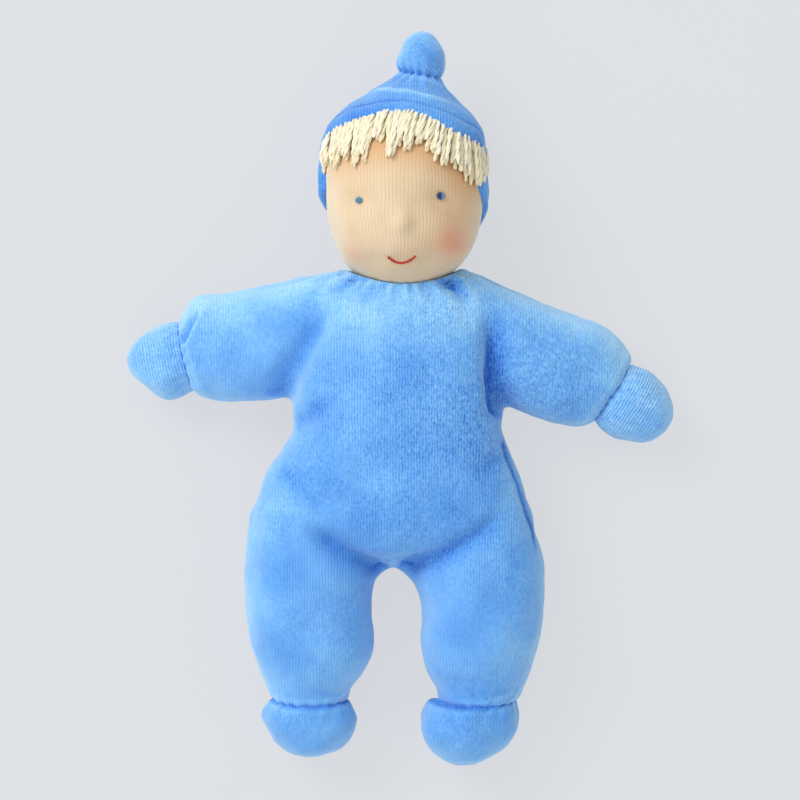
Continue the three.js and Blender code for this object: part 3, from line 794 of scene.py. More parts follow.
def past_tie(name, x, y):
    """How far a place lies past the tie, towards the hand or foot."""
    point, along, bow = TIES[name]
    dx, dy = x - point[0], y - point[1]
    aside = np.minimum(np.abs(dx * along[1] - dy * along[0]) / 16, 1.3)
    return dx * along[0] + dy * along[1] + bow * aside**2


def round_tie(name, points):
    """At each point: the distance past the tie, the angle round the limb, and whether it is that limb."""
    point, along, _ = TIES[name]
    far = past_tie(name, points[:, 0], points[:, 1])
    aside = (points[:, 0] - point[0]) * along[1] - (points[:, 1] - point[1]) * along[0]
    return far, np.arctan2(points[:, 2] - 17, aside), np.abs(aside) < 30


def up_to_tie(space, field, name, soft):
    return within(field, past_tie(name, space.x, space.y) - TIE_OVERLAP, soft)


def romper_top(space):
    """Torso and sleeves, still whole at the neckline."""
    right = up_to_tie(space, right_arm.form(space, RIGHT_SLEEVE), "right_hand", WRIST_EDGE)
    left = up_to_tie(space, left_arm.form(space, LEFT_SLEEVE), "left_hand", WRIST_EDGE)
    torso_form = rows_form(space, TORSO_ROWS, TORSO_POWER)
    return union(torso_form, np.minimum(right, left), SHOULDER_FILLET)


# Room kept free for the turning and nodding head, how softly the folds start beside it, and the neck's hole
ROOM = 0.3
CALM = 1.6
NECK_HOLE = 11.2
NECK_HOLE_FOOT = 20
SHOULDERS_Y = 30

space = Space((-96, -132, GRID_FOOT), (97, 58, 60), STEP)
right_leg = up_to_tie(space, rows_form(space, RIGHT_LEG_ROWS), "right_foot", ANKLE_EDGE)
left_leg = up_to_tie(space, rows_form(space, LEFT_LEG_ROWS), "left_foot", ANKLE_EDGE)
body = union(romper_top(space), np.minimum(right_leg, left_leg), HIP_FILLET)
body = above_floor(space, body)
near_head = int((SHOULDERS_Y - space.lo[1]) / STEP)
bowl = head_space(space.x, space.y[:, near_head:], space.z, NODS, ROOM)
body[:, near_head:] = cut(body[:, near_head:], bowl, 0.7)
hole = np.hypot(space.x - NECK[0], space.z - NECK[2]) - NECK_HOLE
body = np.maximum(body, -np.maximum(hole, NECK_HOLE_FOOT - space.y)).astype(np.float32)

# Folds and ridges: line in the photograph, depth or height, half width, fades at the two ends
HIP_CREASE = [(402, 572), (416, 565), (434, 559), (454, 550), (474, 537), (496, 519), (514, 500)]
HIP_CREASE_CORE = [(402, 572), (416, 564), (434, 558), (454, 548), (474, 535), (496, 517), (512, 502)]
FOLDS = [
    ([(300, 520), (318, 533), (342, 551), (364, 563), (386, 572)], 2.4, 5.0, (0.35, 0.0)),
    ([(304, 520), (320, 533), (342, 549), (366, 562), (386, 572)], 1.8, 2.2, (0.4, 0.0)),
    (HIP_CREASE, 2.8, 5.5, (0.0, 0.35)),
    (HIP_CREASE_CORE, 2.2, 2.4, (0.0, 0.4)),
    ([(336, 298), (321, 326), (304, 352), (289, 378), (281, 402)], 3.8, 5.6, (0.35, 0.05)),
    ([(291, 424), (308, 414), (328, 404), (350, 397)], 1.9, 4.2, (0.05, 0.7)),
    ([(485, 304), (493, 326), (496, 352), (496, 380), (504, 416)], 2.6, 5.4, (0.3, 0.05)),
    ([(485, 312), (491, 340), (492, 372), (495, 398), (503, 418)], 3.0, 2.6, (0.35, 0.02)),
    ([(181, 345), (190, 328), (203, 309)], 2.0, 1.2, (0.1, 0.3)),
    ([(282, 465), (300, 485), (316, 503), (328, 524)], 1.2, 3.0, (0.2, 0.4)),
    ([(464, 478), (486, 466), (507, 451)], 1.2, 4.2, (0.5, 0.2)),
    ([(316, 280), (330, 287), (350, 294)], 0.9, 1.8, (0.3, 0.4)),
    ([(372, 290), (366, 300), (362, 314)], 0.8, 2.0, (0.1, 0.6)),
    ([(446, 282), (460, 292), (474, 308)], 2.0, 2.6, (0.05, 0.5)),
]
RIDGES = [
    ([(352, 294), (338, 326), (320, 352), (304, 376), (294, 400), (291, 418)], 1.9, 6.5, (0.3, 0.05)),
    ([(212, 306), (200, 318), (190, 334)], 1.0, 1.4, (0.2, 0.3)),
]
SEAM = [(500, 434), (507, 456), (516, 480), (526, 506), (533.5, 532), (537, 560)]


def unevenness(points, normals):
    """How deep each point of the romper is drawn in, and how much darker it is painted: painted shade in
    creases, in the seam and under the chin, painted highlight on ridges and crests where it is negative, and
    tone that changes over the cloth.
    """
    x, y, z = points.T
    depth = np.zeros(len(points))
    shade = np.zeros(len(points))
    # Painted shade in the folds, the more the deeper and narrower they are
    for line, deep, wide, fade in FOLDS:
        amount = fold(points, normals, line, wide, fade)
        depth += deep * amount
        shade = np.maximum(shade, amount * min(deep / 3.2, 1) * min(4.0 / wide, 1))
    # Painted highlight on the ridges
    for line, high, wide, fade in RIDGES:
        amount = fold(points, normals, line, wide, fade)
        depth -= high * amount
        shade -= 0.4 * amount
    # Painted shade in the seam's groove
    seam = fold(points, normals, SEAM, 0.9, (0.1, 0.2), facing=-0.2)
    depth += 0.55 * seam
    shade = np.maximum(shade, 1.1 * seam)
    # Pleats at the neckline, with painted highlight on their crests and painted shade between them
    angle = np.arctan2(x - NECK[0], z - NECK[2])
    collar = np.exp(-np.maximum(47 - y, 0) / 5) * (y > SHOULDERS_Y)
    pleat = np.cos(17 * angle + 1.5 * lumps(points, 30, 5))
    depth -= 0.7 * collar * (pleat + 0.6 * np.cos(31 * angle + 2))
    shade = shade - 0.25 * collar * pleat
    # Paler over the chest, where the nap catches the light, partly nap and partly painted highlight; darker
    # over the belly; paler out towards the arms, more on the doll's left; painted highlight on the upper edge
    # of the arms, which face the light
    from_pale_chest, _ = near(points, [(352, 312), (400, 304), (462, 308)])
    shade -= 0.6 * bell(from_pale_chest, 14) * (normals[:, 2] > 0)
    shade += 0.3 * patch(x + 1, y + 30, 42, 42)
    shade -= (0.06 * smooth((np.abs(x) - 38) / 20) + 0.1 * smooth((x - 38) / 20)) * (y > -15)
    shade -= 0.65 * smooth((normals[:, 1] - 0.05) / 0.7) * smooth((np.abs(x) - 20) / 12) * (y > -10)
    # Painted shadow that the chin casts on the cloth under it
    chin_x, chin_y = px(446, 284)
    shade += 0.9 * patch(x - chin_x, y - chin_y, 6, 2.2)
    # Gathers behind each tie, with a painted highlight on the rolled cuff just short of the tie
    for name in TIES:
        far, angle, beside = round_tie(name, points)
        here = np.exp(np.minimum(far, 0) / 4.5) * beside * (far > -25)
        depth -= 0.32 * here * np.cos(15 * angle + 3 * lumps(points, 24, 9))
        shade -= 0.35 * bell(far + 2.2, 1.1) * beside
    # Lumps, but not where the doll lies flat
    lying = np.clip((z - 1) / 6, 0, 1)
    depth -= lying * (0.45 * lumps(points, 42, 21) + 0.17 * lumps(points, 17, 22))
    depth -= lying * 0.1 * lumps(points, 7, 23)
    return depth, shade


def romper_skin(points, quads, clear):
    """The skin with its folds. Where it faces the head it stays as it is, clear of the head."""
    normals = normals_of(points, quads)
    depth, shade = unevenness(points, normals)
    points = pushed(points, -depth * clear, normals)
    points = relax(points, quads, 0.2)
    normals = normals_of(points, quads)
    worn = patch(points[:, 0] - 35, points[:, 1], 55, 55)
    values = {
        "fold": shade,
        "side": flank(normals),
        "rough": np.clip(0.45 + 0.65 * worn + 0.15 * lumps(points, 60, 71), 0.25, 1.3),
        "ribbed": np.clip(0.6 + 0.4 * worn + 0.3 * lumps(points, 50, 74), 0.2, 1.3),
    }
    return points, normals, values


points, quads = skin(space, body)
top = points[:, 1] > SHOULDERS_Y
clear = np.ones(len(points))
clear[top] = smooth(head_space(*points[top].T, NODS, ROOM) / CALM)
points, normals, romper_values = romper_skin(points, quads, clear)

# The skin is cut apart at the shoulders and hips. Each limb's share of it starts behind a slanted plane: the
# way that the plane faces, its distance, how far the bend reaches, where the limb is, and the cover it
# replaces.
BENDS = {
    "right_leg": ((-0.375, -0.927), 66.0, 44, lambda x, y: (y < -25) & (x < -2.5), "leg_cover"),
    "left_leg": ((0.375, -0.927), 64.2, 44, lambda x, y: (y < -25) & (x > -2.5), "leg_cover"),
    "right_arm": ((-0.93, 0.367), 37.0, 32, lambda x, y: (y > -12) & (x < 0), "sleeve"),
    "left_arm": ((0.97, 0.243), 37.2, 32, lambda x, y: (y > -12) & (x > 0), "sleeve"),
}
ROMPER_FILL = 0.75
middles = points[quads].mean(1)[:, :2]
owner = np.zeros(len(quads), int)
for number, (normal, start, _, where, _) in enumerate(BENDS.values(), 1):
    owner[(middles @ np.array(normal) > start) & where(*middles.T)] = number


def romper_piece(name, number):
    keys = list(romper_values)
    p, f, n, *kept = part_of(owner == number, points, quads, normals, *romper_values.values())
    return add_piece(name, p, f, velour, n, dict(zip(keys, kept)))


torso = romper_piece("romper_torso", 0)
torso_nodes = ("torso_front_panel", "torso_back_panel", "torso_filling", "neckline_thread")
declare(torso, "torso", "velour", ROMPER_FILL, *torso_nodes)

# The neckline lies against the chin and the nape.
LIP_STEP = 0.6
LIP_FOOT = 41.5
AT_REST = (0,)
space = Space((-34, 34, 4), (36, 58, 58), LIP_STEP)
places = (space.x, space.y, space.z)
lips = within(romper_top(space), head_space(*places, NODS, ROOM + 1.2), 0.3)
lips = cut(lips, head_space(*places, AT_REST, ROOM - 0.1, 0), 0.5)
lips = within(lips, LIP_FOOT - space.y, 0.5)
LIPS = {
    "neckline_front": (space.z - NECK[2], 48),
    "neckline_back": (NECK[2] - space.z, 12),
}
for name, (half, anchor_z) in LIPS.items():
    p, f = skin(space, np.maximum(lips, -half).astype(np.float32))
    clear = smooth(head_space(*p.T, AT_REST, ROOM, 0) / CALM)
    p, n, values = romper_skin(p, f, clear)
    p = p + (0.12 * clear)[:, None] * n
    lip = add_piece(name, p, f, velour, n, values)
    declare(lip, "torso", "velour", ROMPER_FILL)
    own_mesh(lip)

for number, (name, (normal, start, length, _, cover)) in enumerate(BENDS.items(), 1):
    limb = romper_piece(f"romper_{name}", number)
    last = np.array([*normal, 0]) * (start + length) * MM
    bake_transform(limb)
    side = name.split("_")[0]
    declare(limb, None, "velour", ROMPER_FILL, f"{side}_{cover}", f"{name}_filling")


# Hands, feet and the knob of the cap, each gathered at its near end

SMALL_STEP = 0.75
BULB_FILL = 0.85
BULB_PLEATS = 17
RIGHT_FOOT_ROWS = [
    (694, 274, 346, 18.6, 15.4),
    (703, 268.5, 350, 18.6, 16.4),
    (710, 262.5, 354, 18.5, 17.6),
    (718, 261, 356.5, 18.4, 18),
    (728, 265.5, 355.5, 18.4, 17.6),
    (736, 270.5, 352.5, 18.2, 16.6),
    (744, 277, 347, 18, 14.6),
    (750, 284, 341, 18, 12.2),
    (755, 293, 331, 18, 8.6),
    (758, 303, 321, 18, 4.5),
]
LEFT_FOOT_ROWS = [
    (694, 437, 516, 18.6, 15.4),
    (703, 428, 517, 18.6, 16.6),
    (712, 422.5, 518.5, 18.5, 17.8),
    (722, 421, 518.5, 18.4, 18.2),
    (732, 421.5, 516, 18.4, 17.8),
    (742, 425, 510, 18.2, 16.2),
    (750, 430.5, 503, 18, 14),
    (757, 437.5, 493.5, 18, 11),
    (762, 446, 484, 18, 7.8),
    (765, 456, 474, 18, 4),
]
RIGHT_HAND = [
    (-4, -13.4, 12.6, 15.5, 12.2),
    (0.5, -14.6, 13.8, 15.5, 13),
    (4, -15.8, 14.5, 15.5, 13.6),
    (8, -16.5, 14.1, 15.5, 13.6),
    (11, -16.1, 13.4, 15.4, 13.1),
    (14, -14.3, 12.3, 15.3, 12),
    (17, -11.6, 10.7, 15.2, 10.2),
    (19.5, -8.8, 9, 15.1, 8.4),
    (22, -5.2, 6.6, 15, 5.8),
    (23.6, -1.8, 4.2, 15, 2.8),
]
LEFT_HAND = [
    (-4, -13.4, 12.4, 15.5, 12.4),
    (1, -14.2, 13.4, 15.5, 13.2),
    (4, -14.9, 14.5, 15.5, 13.8),
    (7, -15.2, 15.3, 15.5, 14),
    (11, -15, 15, 15.5, 13.8),
    (15, -14.3, 14, 15.4, 13),
    (19, -13, 12.4, 15.3, 11.6),
    (22, -11, 10.2, 15.2, 9.8),
    (24.6, -7.8, 7.4, 15.1, 7.2),
    (26.6, -3.2, 4, 15, 3.6),
]


def bulb(tie, space, field, rough, ribbed, pale, ribs_across):
    """A stuffed bulb whose near end is gathered against the tie."""
    field = within(field, -TIE_OVERLAP - past_tie(tie, space.x, space.y), 3)
    p, f = skin(space, above_floor(space, field))
    n = normals_of(p, f)
    far, angle, _ = round_tie(tie, p)
    here = np.exp(-np.maximum(far, 0) / 4)
    pleat = np.cos(BULB_PLEATS * angle + 3 * lumps(p, 20, 31))
    stuffing = 0.35 * lumps(p, 20, 32 + len(tie)) + 0.12 * lumps(p, 8, 33)
    moved = pushed(p, 0.35 * here * pleat + stuffing, n)
    n = normals_of(moved, f)
    pleat = np.cos(BULB_PLEATS * angle + 3 * lumps(moved, 20, 31))
    # Painted shade along the pleats and at the tie, and a painted highlight on the lip just past it
    crease = np.clip(here * (0.5 + 0.5 * pleat), 0, 1)
    crease = np.maximum(crease * 0.5, 0.8 * bell(far, 1.4)) - 0.3 * bell(far - 2.4, 1.1)
    along = np.array(TIES[tie][1])
    tip = smooth((n[:, :2] @ along / np.hypot(*along) - 0.55) / 0.35)
    values = {
        "fold": crease - pale,
        "side": np.zeros(len(p)) if ribs_across else flank(n),
        "rough": np.clip(rough + 0.15 * lumps(moved, 30, 72), 0.25, 1.4),
        "ribbed": ribbed * (1 + 0.3 * lumps(moved, 18, 75)) * (1 - 0.9 * tip),
    }
    cloth = np.stack([far, angle * 14, moved[:, 2]], 1) if ribs_across else None
    return add_piece(tie, moved, f, velour, n, values, cloth)


def finish_bulb(piece, end):
    """Bakes the bulb's place into its mesh and hides the CAD nodes that it replaces."""
    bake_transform(piece)
    declare(piece, None, "velour", BULB_FILL, f"{end}_cover", f"{end}_filling", f"{end}_gather")


for side, rows in (("right", RIGHT_FOOT_ROWS), ("left", LEFT_FOOT_ROWS)):
    columns = np.array(rows, float)[:, 1:3]
    low = (px_x(columns.min()) - 4, px_y(768), GRID_FOOT)
    high = (px_x(columns.max()) + 4, px_y(692), 40)
    space = Space(low, high, SMALL_STEP)
    foot = bulb(f"{side}_foot", space, rows_form(space, rows), 0.45, 0.6, -0.14, False)
    finish_bulb(foot, f"{side}_foot")

HANDS = {"right": (RIGHT_HAND, 0.7, 1.6, 0.3), "left": (LEFT_HAND, 0.9, 2.0, 0.45)}
for side, (table, *look) in HANDS.items():
    point, along, _ = TIES[f"{side}_hand"]
    x, y = np.array(point) + 10 * np.array(along)
    space = Space((x - 24, y - 24, GRID_FOOT), (x + 24, y + 24, 34), SMALL_STEP)
    field = Limb(point, along).form(space, table)
    hand = bulb(f"{side}_hand", space, field, *look, True)
    finish_bulb(hand, f"{side}_hand")


# Head, with a pit that fits the ball of the neck. The skin gets painted shade in a warmer hue under the
# fringe, on the face's shaded side and under the chin.


def grid_faces(rows, columns):
    """Four-sided faces over rows of points, which close round in each row."""
    i, j = np.meshgrid(np.arange(rows - 1), np.arange(columns), indexing="ij")
    i, j = i.ravel() * columns, j.ravel()
    after = (j + 1) % columns
    return np.stack([i + j, i + after, i + columns + after, i + columns + j], 1)


FIRM_FILL = 0.9
HEAD_COLUMNS = 260
HEAD_LINES = 170
FACE_HEIGHT = 66
t = np.linspace(-np.pi / 2, np.pi / 2, HEAD_LINES)
ys = HEAD_Y + np.where(t < 0, HEAD_BELOW - 0.02, HEAD_ABOVE - 0.02) * np.sin(t)
angles = np.linspace(-np.pi, np.pi, HEAD_COLUMNS, endpoint=False)
yy, aa = np.meshgrid(ys, angles, indexing="ij")
head_points = on_head(aa, yy, 0 * yy).reshape(-1, 3)
head_faces = grid_faces(HEAD_LINES, HEAD_COLUMNS)
head_normals = normals_of(head_points, head_faces)
hx, hy = head_points[:, 0], head_points[:, 1]
front = np.clip(head_normals[:, 2] / 0.3, 0, 1)


def mounds(table):
    """Soft mounds over the face, from rows of (height, column, row, half width, half height)."""
    total = 0
    for height, column, row, wide, tall in table:
        x, y = seen(column, row, FACE_HEIGHT)
        total = total + height * (patch(hx - x, hy - y, wide, tall) * front)
    return total


# Nose and its bridge, eye hollows, cheeks, chin, and the hollow under the mouth
FACE = [
    (2.3, 402, 223, 3.9, 4.1),
    (0.6, 403, 214, 3.2, 5.5),
    (-0.9, 357, 201, 7, 5),
    (-0.9, 442, 198, 7, 5),
    (0.9, 350, 246, 9, 9),
    (0.9, 455, 243, 9, 9),
    (0.8, 402, 270, 10, 4),
    (-0.5, 402, 259, 7.5, 1.6),
]
# Cheeks, upper lip and a temple
BLUSH = [
    (0.55, 453, 244, 6.2, 6.0),
    (0.3, 351, 256, 5.2, 5.6),
    (0.12, 400, 247, 6, 3.5),
    (0.1, 330, 180, 4, 6),
]
rise = mounds(FACE) + 0.22 * lumps(head_points, 24, 41)
rise *= smooth((hy - 50) / 6)
rosy = mounds(BLUSH)
SHADED = [(318, 172), (345, 163), (375, 154), (400, 154), (425, 154), (450, 168), (470, 182), (488, 178)]
_, shaded_y = seen(0, along_table(SHADED, MIDDLE + hx / PIXEL), 60)
# Painted shade in a warmer hue: under the fringe, over the face's shaded side towards the doll's left, and
# under the chin
painted_warm_shade = 0.05 + 0.36 * smooth((hx - 6) / 30) + 0.6 * smooth((hy - shaded_y + 12) / 16)
painted_warm_shade = (painted_warm_shade + 0.12 * smooth((60 - hy) / 10)) * front
head_points = head_points + rise[:, None] * head_normals
from_neck = head_points - NECK
reach = np.linalg.norm(from_neck, axis=1)
wrapped = NECK + from_neck * (NECK_PIT / np.maximum(reach, 1))[:, None]
amount = np.clip((head_points[:, 2] - 37) / 4, 0, 1) * (reach < NECK_PIT)
head_points = head_points + amount[:, None] * (wrapped - head_points)
cloth = np.stack([aa.ravel() * HEAD_WIDE, head_points[:, 1], head_points[:, 2]], 1)
head = add_piece("head", head_points, head_faces, tricot, None, {"blush": rosy, "painted_warm_shade": painted_warm_shade}, cloth)
declare(head, "head", "tricot", FIRM_FILL, "head_core", "head_skin", "nose_ball")

# Neck: a stalk with a ball at its top, as (place along, radius)
NECK_SIDES = 64
NECK_STALK = 10.4
profile = [(20.5, 0.02), (20.5, 10), (24, NECK_STALK), (38, NECK_STALK), (41.4, NECK_STALK)]
for degrees in range(-38, 91, 6):
    bend = math.radians(degrees)
    profile.append((NECK[1] + NECK_BALL * math.sin(bend), max(NECK_BALL * math.cos(bend), 0.02)))
height, radius = np.array(profile).T[:, :, None]
turns = np.linspace(0, 2 * np.pi, NECK_SIDES, endpoint=False)
rings = [NECK[0] + radius * np.sin(turns), height + 0 * turns, NECK[2] + radius * np.cos(turns)]
neck_points = np.stack(rings, -1).reshape(-1, 3)
half = np.full(len(neck_points), 0.5)
cloth = np.stack([np.tile(turns * 12, len(profile)), neck_points[:, 1], neck_points[:, 2]], 1)
neck_faces = grid_faces(len(profile), NECK_SIDES)
neck = add_piece("neck", neck_points, neck_faces, velour, None, {"rough": half, "ribbed": half}, cloth)
declare(neck, "neck", "velour", FIRM_FILL, "neck_stalk", "neck_tie")


# Cap: a shell round the head, open at the face along a tilted plane, with a rolled hem

CAP_MIDDLE = 35.5
CAP_ROWS = [
    (74, 399, 443, 7),
    (78, 395, 441, 8.4),
    (84, 385, 442, 12),
    (90, 375, 446, 15.6),
    (97, 365, 454, 19.5),
    (105, 352, 462, 23.4),
    (113, 341, 470, 26.8),
    (122, 332.5, 477, 29.6),
    (132, 326.5, 482.5, 31.8),
    (146, 321.5, 486, 33.6),
    (165, 320, 488, 34.8),
    (185, 319.5, 487.5, 35.1),
    (203, 322, 485, 34.6),
    (214, 327, 480.5, 33.6),
    (228, 334, 474, 31.6),
    (245, 341, 468, 28.4),
    (260, 351, 457, 24),
    (270, 364, 444, 18),
    (276, 382, 427, 10),
    (279, 397, 412, 4),
]


def cap_rows(table):
    """Rows for rows_form, from (row, left column, right column, half depth)."""
    return [(row, left, right, CAP_MIDDLE, depth) for row, left, right, depth in table]


FACE_POINT = np.array([1.33, 88.04, 46.0])
FACE_TILT = math.radians(32.5)
FACE_LEAN = math.radians(8)
FACE_NORMAL = np.array([0, -math.sin(FACE_TILT), math.cos(FACE_TILT)]) * math.cos(FACE_LEAN)
FACE_NORMAL[0] = -math.sin(FACE_LEAN)
CAP_WALL = 4.5
CAP_POWER = 2.05
# The rolled hem and the stitched groove behind it: distance behind the opening, half width, height or depth
HEM_ROLL = (2.4, 2.6, 0.7)
HEM_GROOVE = (6.2, 0.7, 0.4)
KNOB_TIE = px(419.5, 76)
KNOB_LEAN = math.radians(14)
KNOB_ALONG = np.array([math.sin(KNOB_LEAN), math.cos(KNOB_LEAN)])


def along_hem(ahead, behind, width, height):
    return height * bell(ahead + behind, width)


def face_side(x, y, z):
    """How far a place lies in front of the cap's opening, which is wider over the temples."""
    dx, dy, dz = x - FACE_POINT[0], y - FACE_POINT[1], z - FACE_POINT[2]
    temple = np.minimum(np.abs(dx) / 30, 1.05) ** 4 * np.clip((y - 86) / 16, 0, 1)
    jaw = 10 * smooth((86 - y) / 14)
    return dx * FACE_NORMAL[0] + dy * FACE_NORMAL[1] + dz * FACE_NORMAL[2] + 8 * temple + jaw


def round_knob(points):
    """At each point: the distance past the knob's tie, and the angle round it."""
    x, y, z = points.T
    return past_knob_tie(x, y), np.arctan2(z - CAP_MIDDLE, x - KNOB_TIE[0])


def past_knob_tie(x, y):
    dx, dy = x - KNOB_TIE[0], y - KNOB_TIE[1]
    return dx * KNOB_ALONG[0] + dy * KNOB_ALONG[1]


HEM = [(362, 95), (378, 92.5), (400, 95), (423, 100), (445, 105), (462, 111)]
CAP_STEP = 0.95
space = Space((-38, 46, GRID_FOOT), (42, 136, 74), CAP_STEP)
skull = head_field(space.x, space.y, space.z)
outer = rows_form(space, cap_rows(CAP_ROWS), CAP_POWER)
outer = union(outer, skull - 0.5 - 1.1 * smooth((space.y - 64) / 22), 1.5)
ahead = face_side(space.x, space.y, space.z)
outer = outer - along_hem(ahead, *HEM_ROLL)
thick = CAP_WALL + 3 * smooth((ahead + 16) / 8)
cavity = np.minimum(outer + thick, skull + 1.6).astype(np.float32)
field = within(cut(outer, cavity, 0.8), ahead, 2.2)
field = above_floor(space, within(field, past_knob_tie(space.x, space.y) - TIE_OVERLAP, 2.2))
p, f = skin(space, field.astype(np.float32))
n = normals_of(p, f)
outward = (n * (p - np.array([HEAD_X, HEAD_Y, HEAD_Z]))).sum(1) > 0
ahead = face_side(*p.T)
hem = fold(p, n, HEM, 0.9, (0.25, 0.35))
groove = along_hem(ahead, *HEM_GROOVE) * outward
far, angle = round_knob(p)
pleat = np.exp(np.minimum(far, 0) / 5) * np.cos(14 * angle)
slack = 0.15 + 0.85 * smooth((p[:, 1] - 60) / 25)
rise = 0.45 * hem - 0.5 * groove + 0.55 * pleat
rise += slack * (0.4 * lumps(p, 30, 51) + 0.16 * lumps(p, 11, 52))
p = pushed(p, rise * outward, n)
n = normals_of(p, f)
values = {
    # The cap is painted a little darker all over, with painted shade in the stitched groove, painted
    # highlight along the rolled hem and painted highlight just short of the knob's tie
    "fold": 0.6 + groove - 0.9 * hem - 0.5 * bell(far + 1.6, 1.2),
    "side": flank(n),
    "rough": np.clip(0.6 + 0.15 * lumps(p, 40, 73), 0.3, 1.0),
    "ribbed": np.clip(1.1 + 0.4 * lumps(p, 40, 76), 0.3, 2),
}
cap = add_piece("cap_hood", p, f, velour, n, values)
declare(cap, "head", "velour", None, "cap")

KNOB_ROWS = [
    (82, 399, 438, 8),
    (76, 398, 442, 8.8),
    (72, 398.5, 444, 9.4),
    (67, 397.5, 445.5, 9.9),
    (61, 397, 446, 10.1),
    (55, 398.5, 445, 9.8),
    (49, 401, 442, 8.6),
    (43, 404.5, 438, 6.9),
    (38, 409.5, 434, 5),
    (35, 414.5, 430, 3.2),
    (33.3, 418.5, 425, 1.4),
]
space = Space((-4, 126, 22), (23, 154, 49), 0.6)
field = rows_form(space, cap_rows(KNOB_ROWS), CAP_POWER)
field = within(field, -TIE_OVERLAP - past_knob_tie(space.x, space.y), 3)
p, f = skin(space, field.astype(np.float32))
n = normals_of(p, f)
far, angle = round_knob(p)
pleat = np.exp(-np.maximum(far, 0) / 3) * np.cos(15 * angle + lumps(p, 18, 61))
p = p + (0.5 * pleat + 0.22 * lumps(p, 12, 62))[:, None] * n
n = normals_of(p, f)
values = {
    # Painted shade at the knob's tie; elsewhere a little paler
    "fold": 0.5 * bell(far, 1.2) - 0.1,
    "rough": np.full(len(p), 0.7),
    "ribbed": 1.8 * (1 - 0.85 * smooth((n[:, 1] - 0.6) / 0.35)),
}
slanted = np.stack([p[:, 0] + 0.8 * (p[:, 1] - KNOB_TIE[1]), p[:, 1], p[:, 2]], 1)
knob = add_piece("cap_knob", p, f, velour, n, values, slanted)
start, way = np.array([*KNOB_TIE, CAP_MIDDLE]), np.array([*KNOB_ALONG, 0])
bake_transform(knob)
declare(knob, None, "velour", FIRM_FILL, "cap_knob_cover", "cap_knob_filling", "cap_knob_gather")


# Yarn, stitches and thread


def across_path(path, guide):
    """Two directions across a path, at right angles, at each of its points."""
    tangent = np.gradient(path, axis=0)
    tangent /= np.linalg.norm(tangent, axis=1)[:, None]
    a = np.cross(tangent, np.array(guide))
    a /= np.linalg.norm(a, axis=1)[:, None]
    return a, np.cross(tangent, a)


def tubes(paths, radii, sides):
    """Round threads along paths of points, closed at both ends, as one mesh."""
    all_points, all_faces, owners, base = [], [], [], 0
    around = np.linspace(0, 2 * np.pi, sides, endpoint=False)
    for number, (path, radius) in enumerate(zip(paths, radii)):
        path = np.asarray(path, float)
        a, b = across_path(path, (0.13, 0.2, 1.0))
        size = np.broadcast_to(radius, len(path)).astype(float).copy()
        size[[0, -1]] *= 0.05
        ring = a[:, None] * np.cos(around)[:, None] + b[:, None] * np.sin(around)[:, None]
        points = path[:, None] + ring * size[:, None, None]
        all_points.append(points.reshape(-1, 3))
        all_faces.append(grid_faces(len(path), sides)[:, ::-1] + base)
        owners.append(np.full(len(path) * sides, number))
        base += len(path) * sides
    return np.concatenate(all_points), np.concatenate(all_faces), np.concatenate(owners)


def over_face(x, y, lift):
    """Places over the face at x, y, lifted straight out of the head's round form."""
    middle_x, _ = head_middle(y)
    across = np.clip((x - middle_x) / (head_share(y) * HEAD_WIDE + 1e-6), -0.995, 0.995)
    return on_head(np.arcsin(across), y, lift)


# Fringe: the edge of the cap that it hangs from, its tips, how far the strands lean, where they gather in
# locks, and the layers as (strands, lift, length, paleness). Lower layers are less pale: painted shade under
# the upper ones.
EDGE = [
    (322, 138), (330, 130), (345, 122), (370, 115), (395, 111), (414, 111), (432, 117), (457, 131),
    (478, 145), (488, 160),
]
TIPS = [
    (317, 173), (323, 174), (330, 165), (338, 169), (346, 164), (352, 167), (359, 169), (365, 165),
    (371, 149), (378, 144), (385, 147), (392, 171), (396, 150), (401, 150), (407, 155), (414, 146),
    (423, 149), (430, 162), (440, 168), (449, 170), (459, 176), (466, 183), (473, 191), (480, 187),
    (488, 167),
]
LEANS = [(320, -4), (330, -6), (400, -7), (430, -8), (448, -2), (470, 3), (488, 0)]
LOCKS = [321, 328, 338, 347, 359, 366, 379, 392, 399, 407, 417, 424, 432, 441, 450, 460, 467, 474, 482]
LOCKS = np.array(LOCKS)
LAYERS = [(66, 1.2, 1.0, 0.15), (60, 2.1, 0.92, 0.5), (48, 3.0, 0.86, 0.7)]
FRINGE_START, FRINGE_END = 324, 480
FRINGE_HEIGHT = 58
LOCK_PULL = 0.45
ROOT_LIFT = 0.9
SAMPLE_LENGTH = 0.75
PLY_RADIUS = 0.56
PLY_OFFSET = 0.34
PLY_SIDES = 7
TWIST_LENGTH = 8.5
rng = np.random.default_rng(7)
plies, ply_sizes, tints = [], [], []
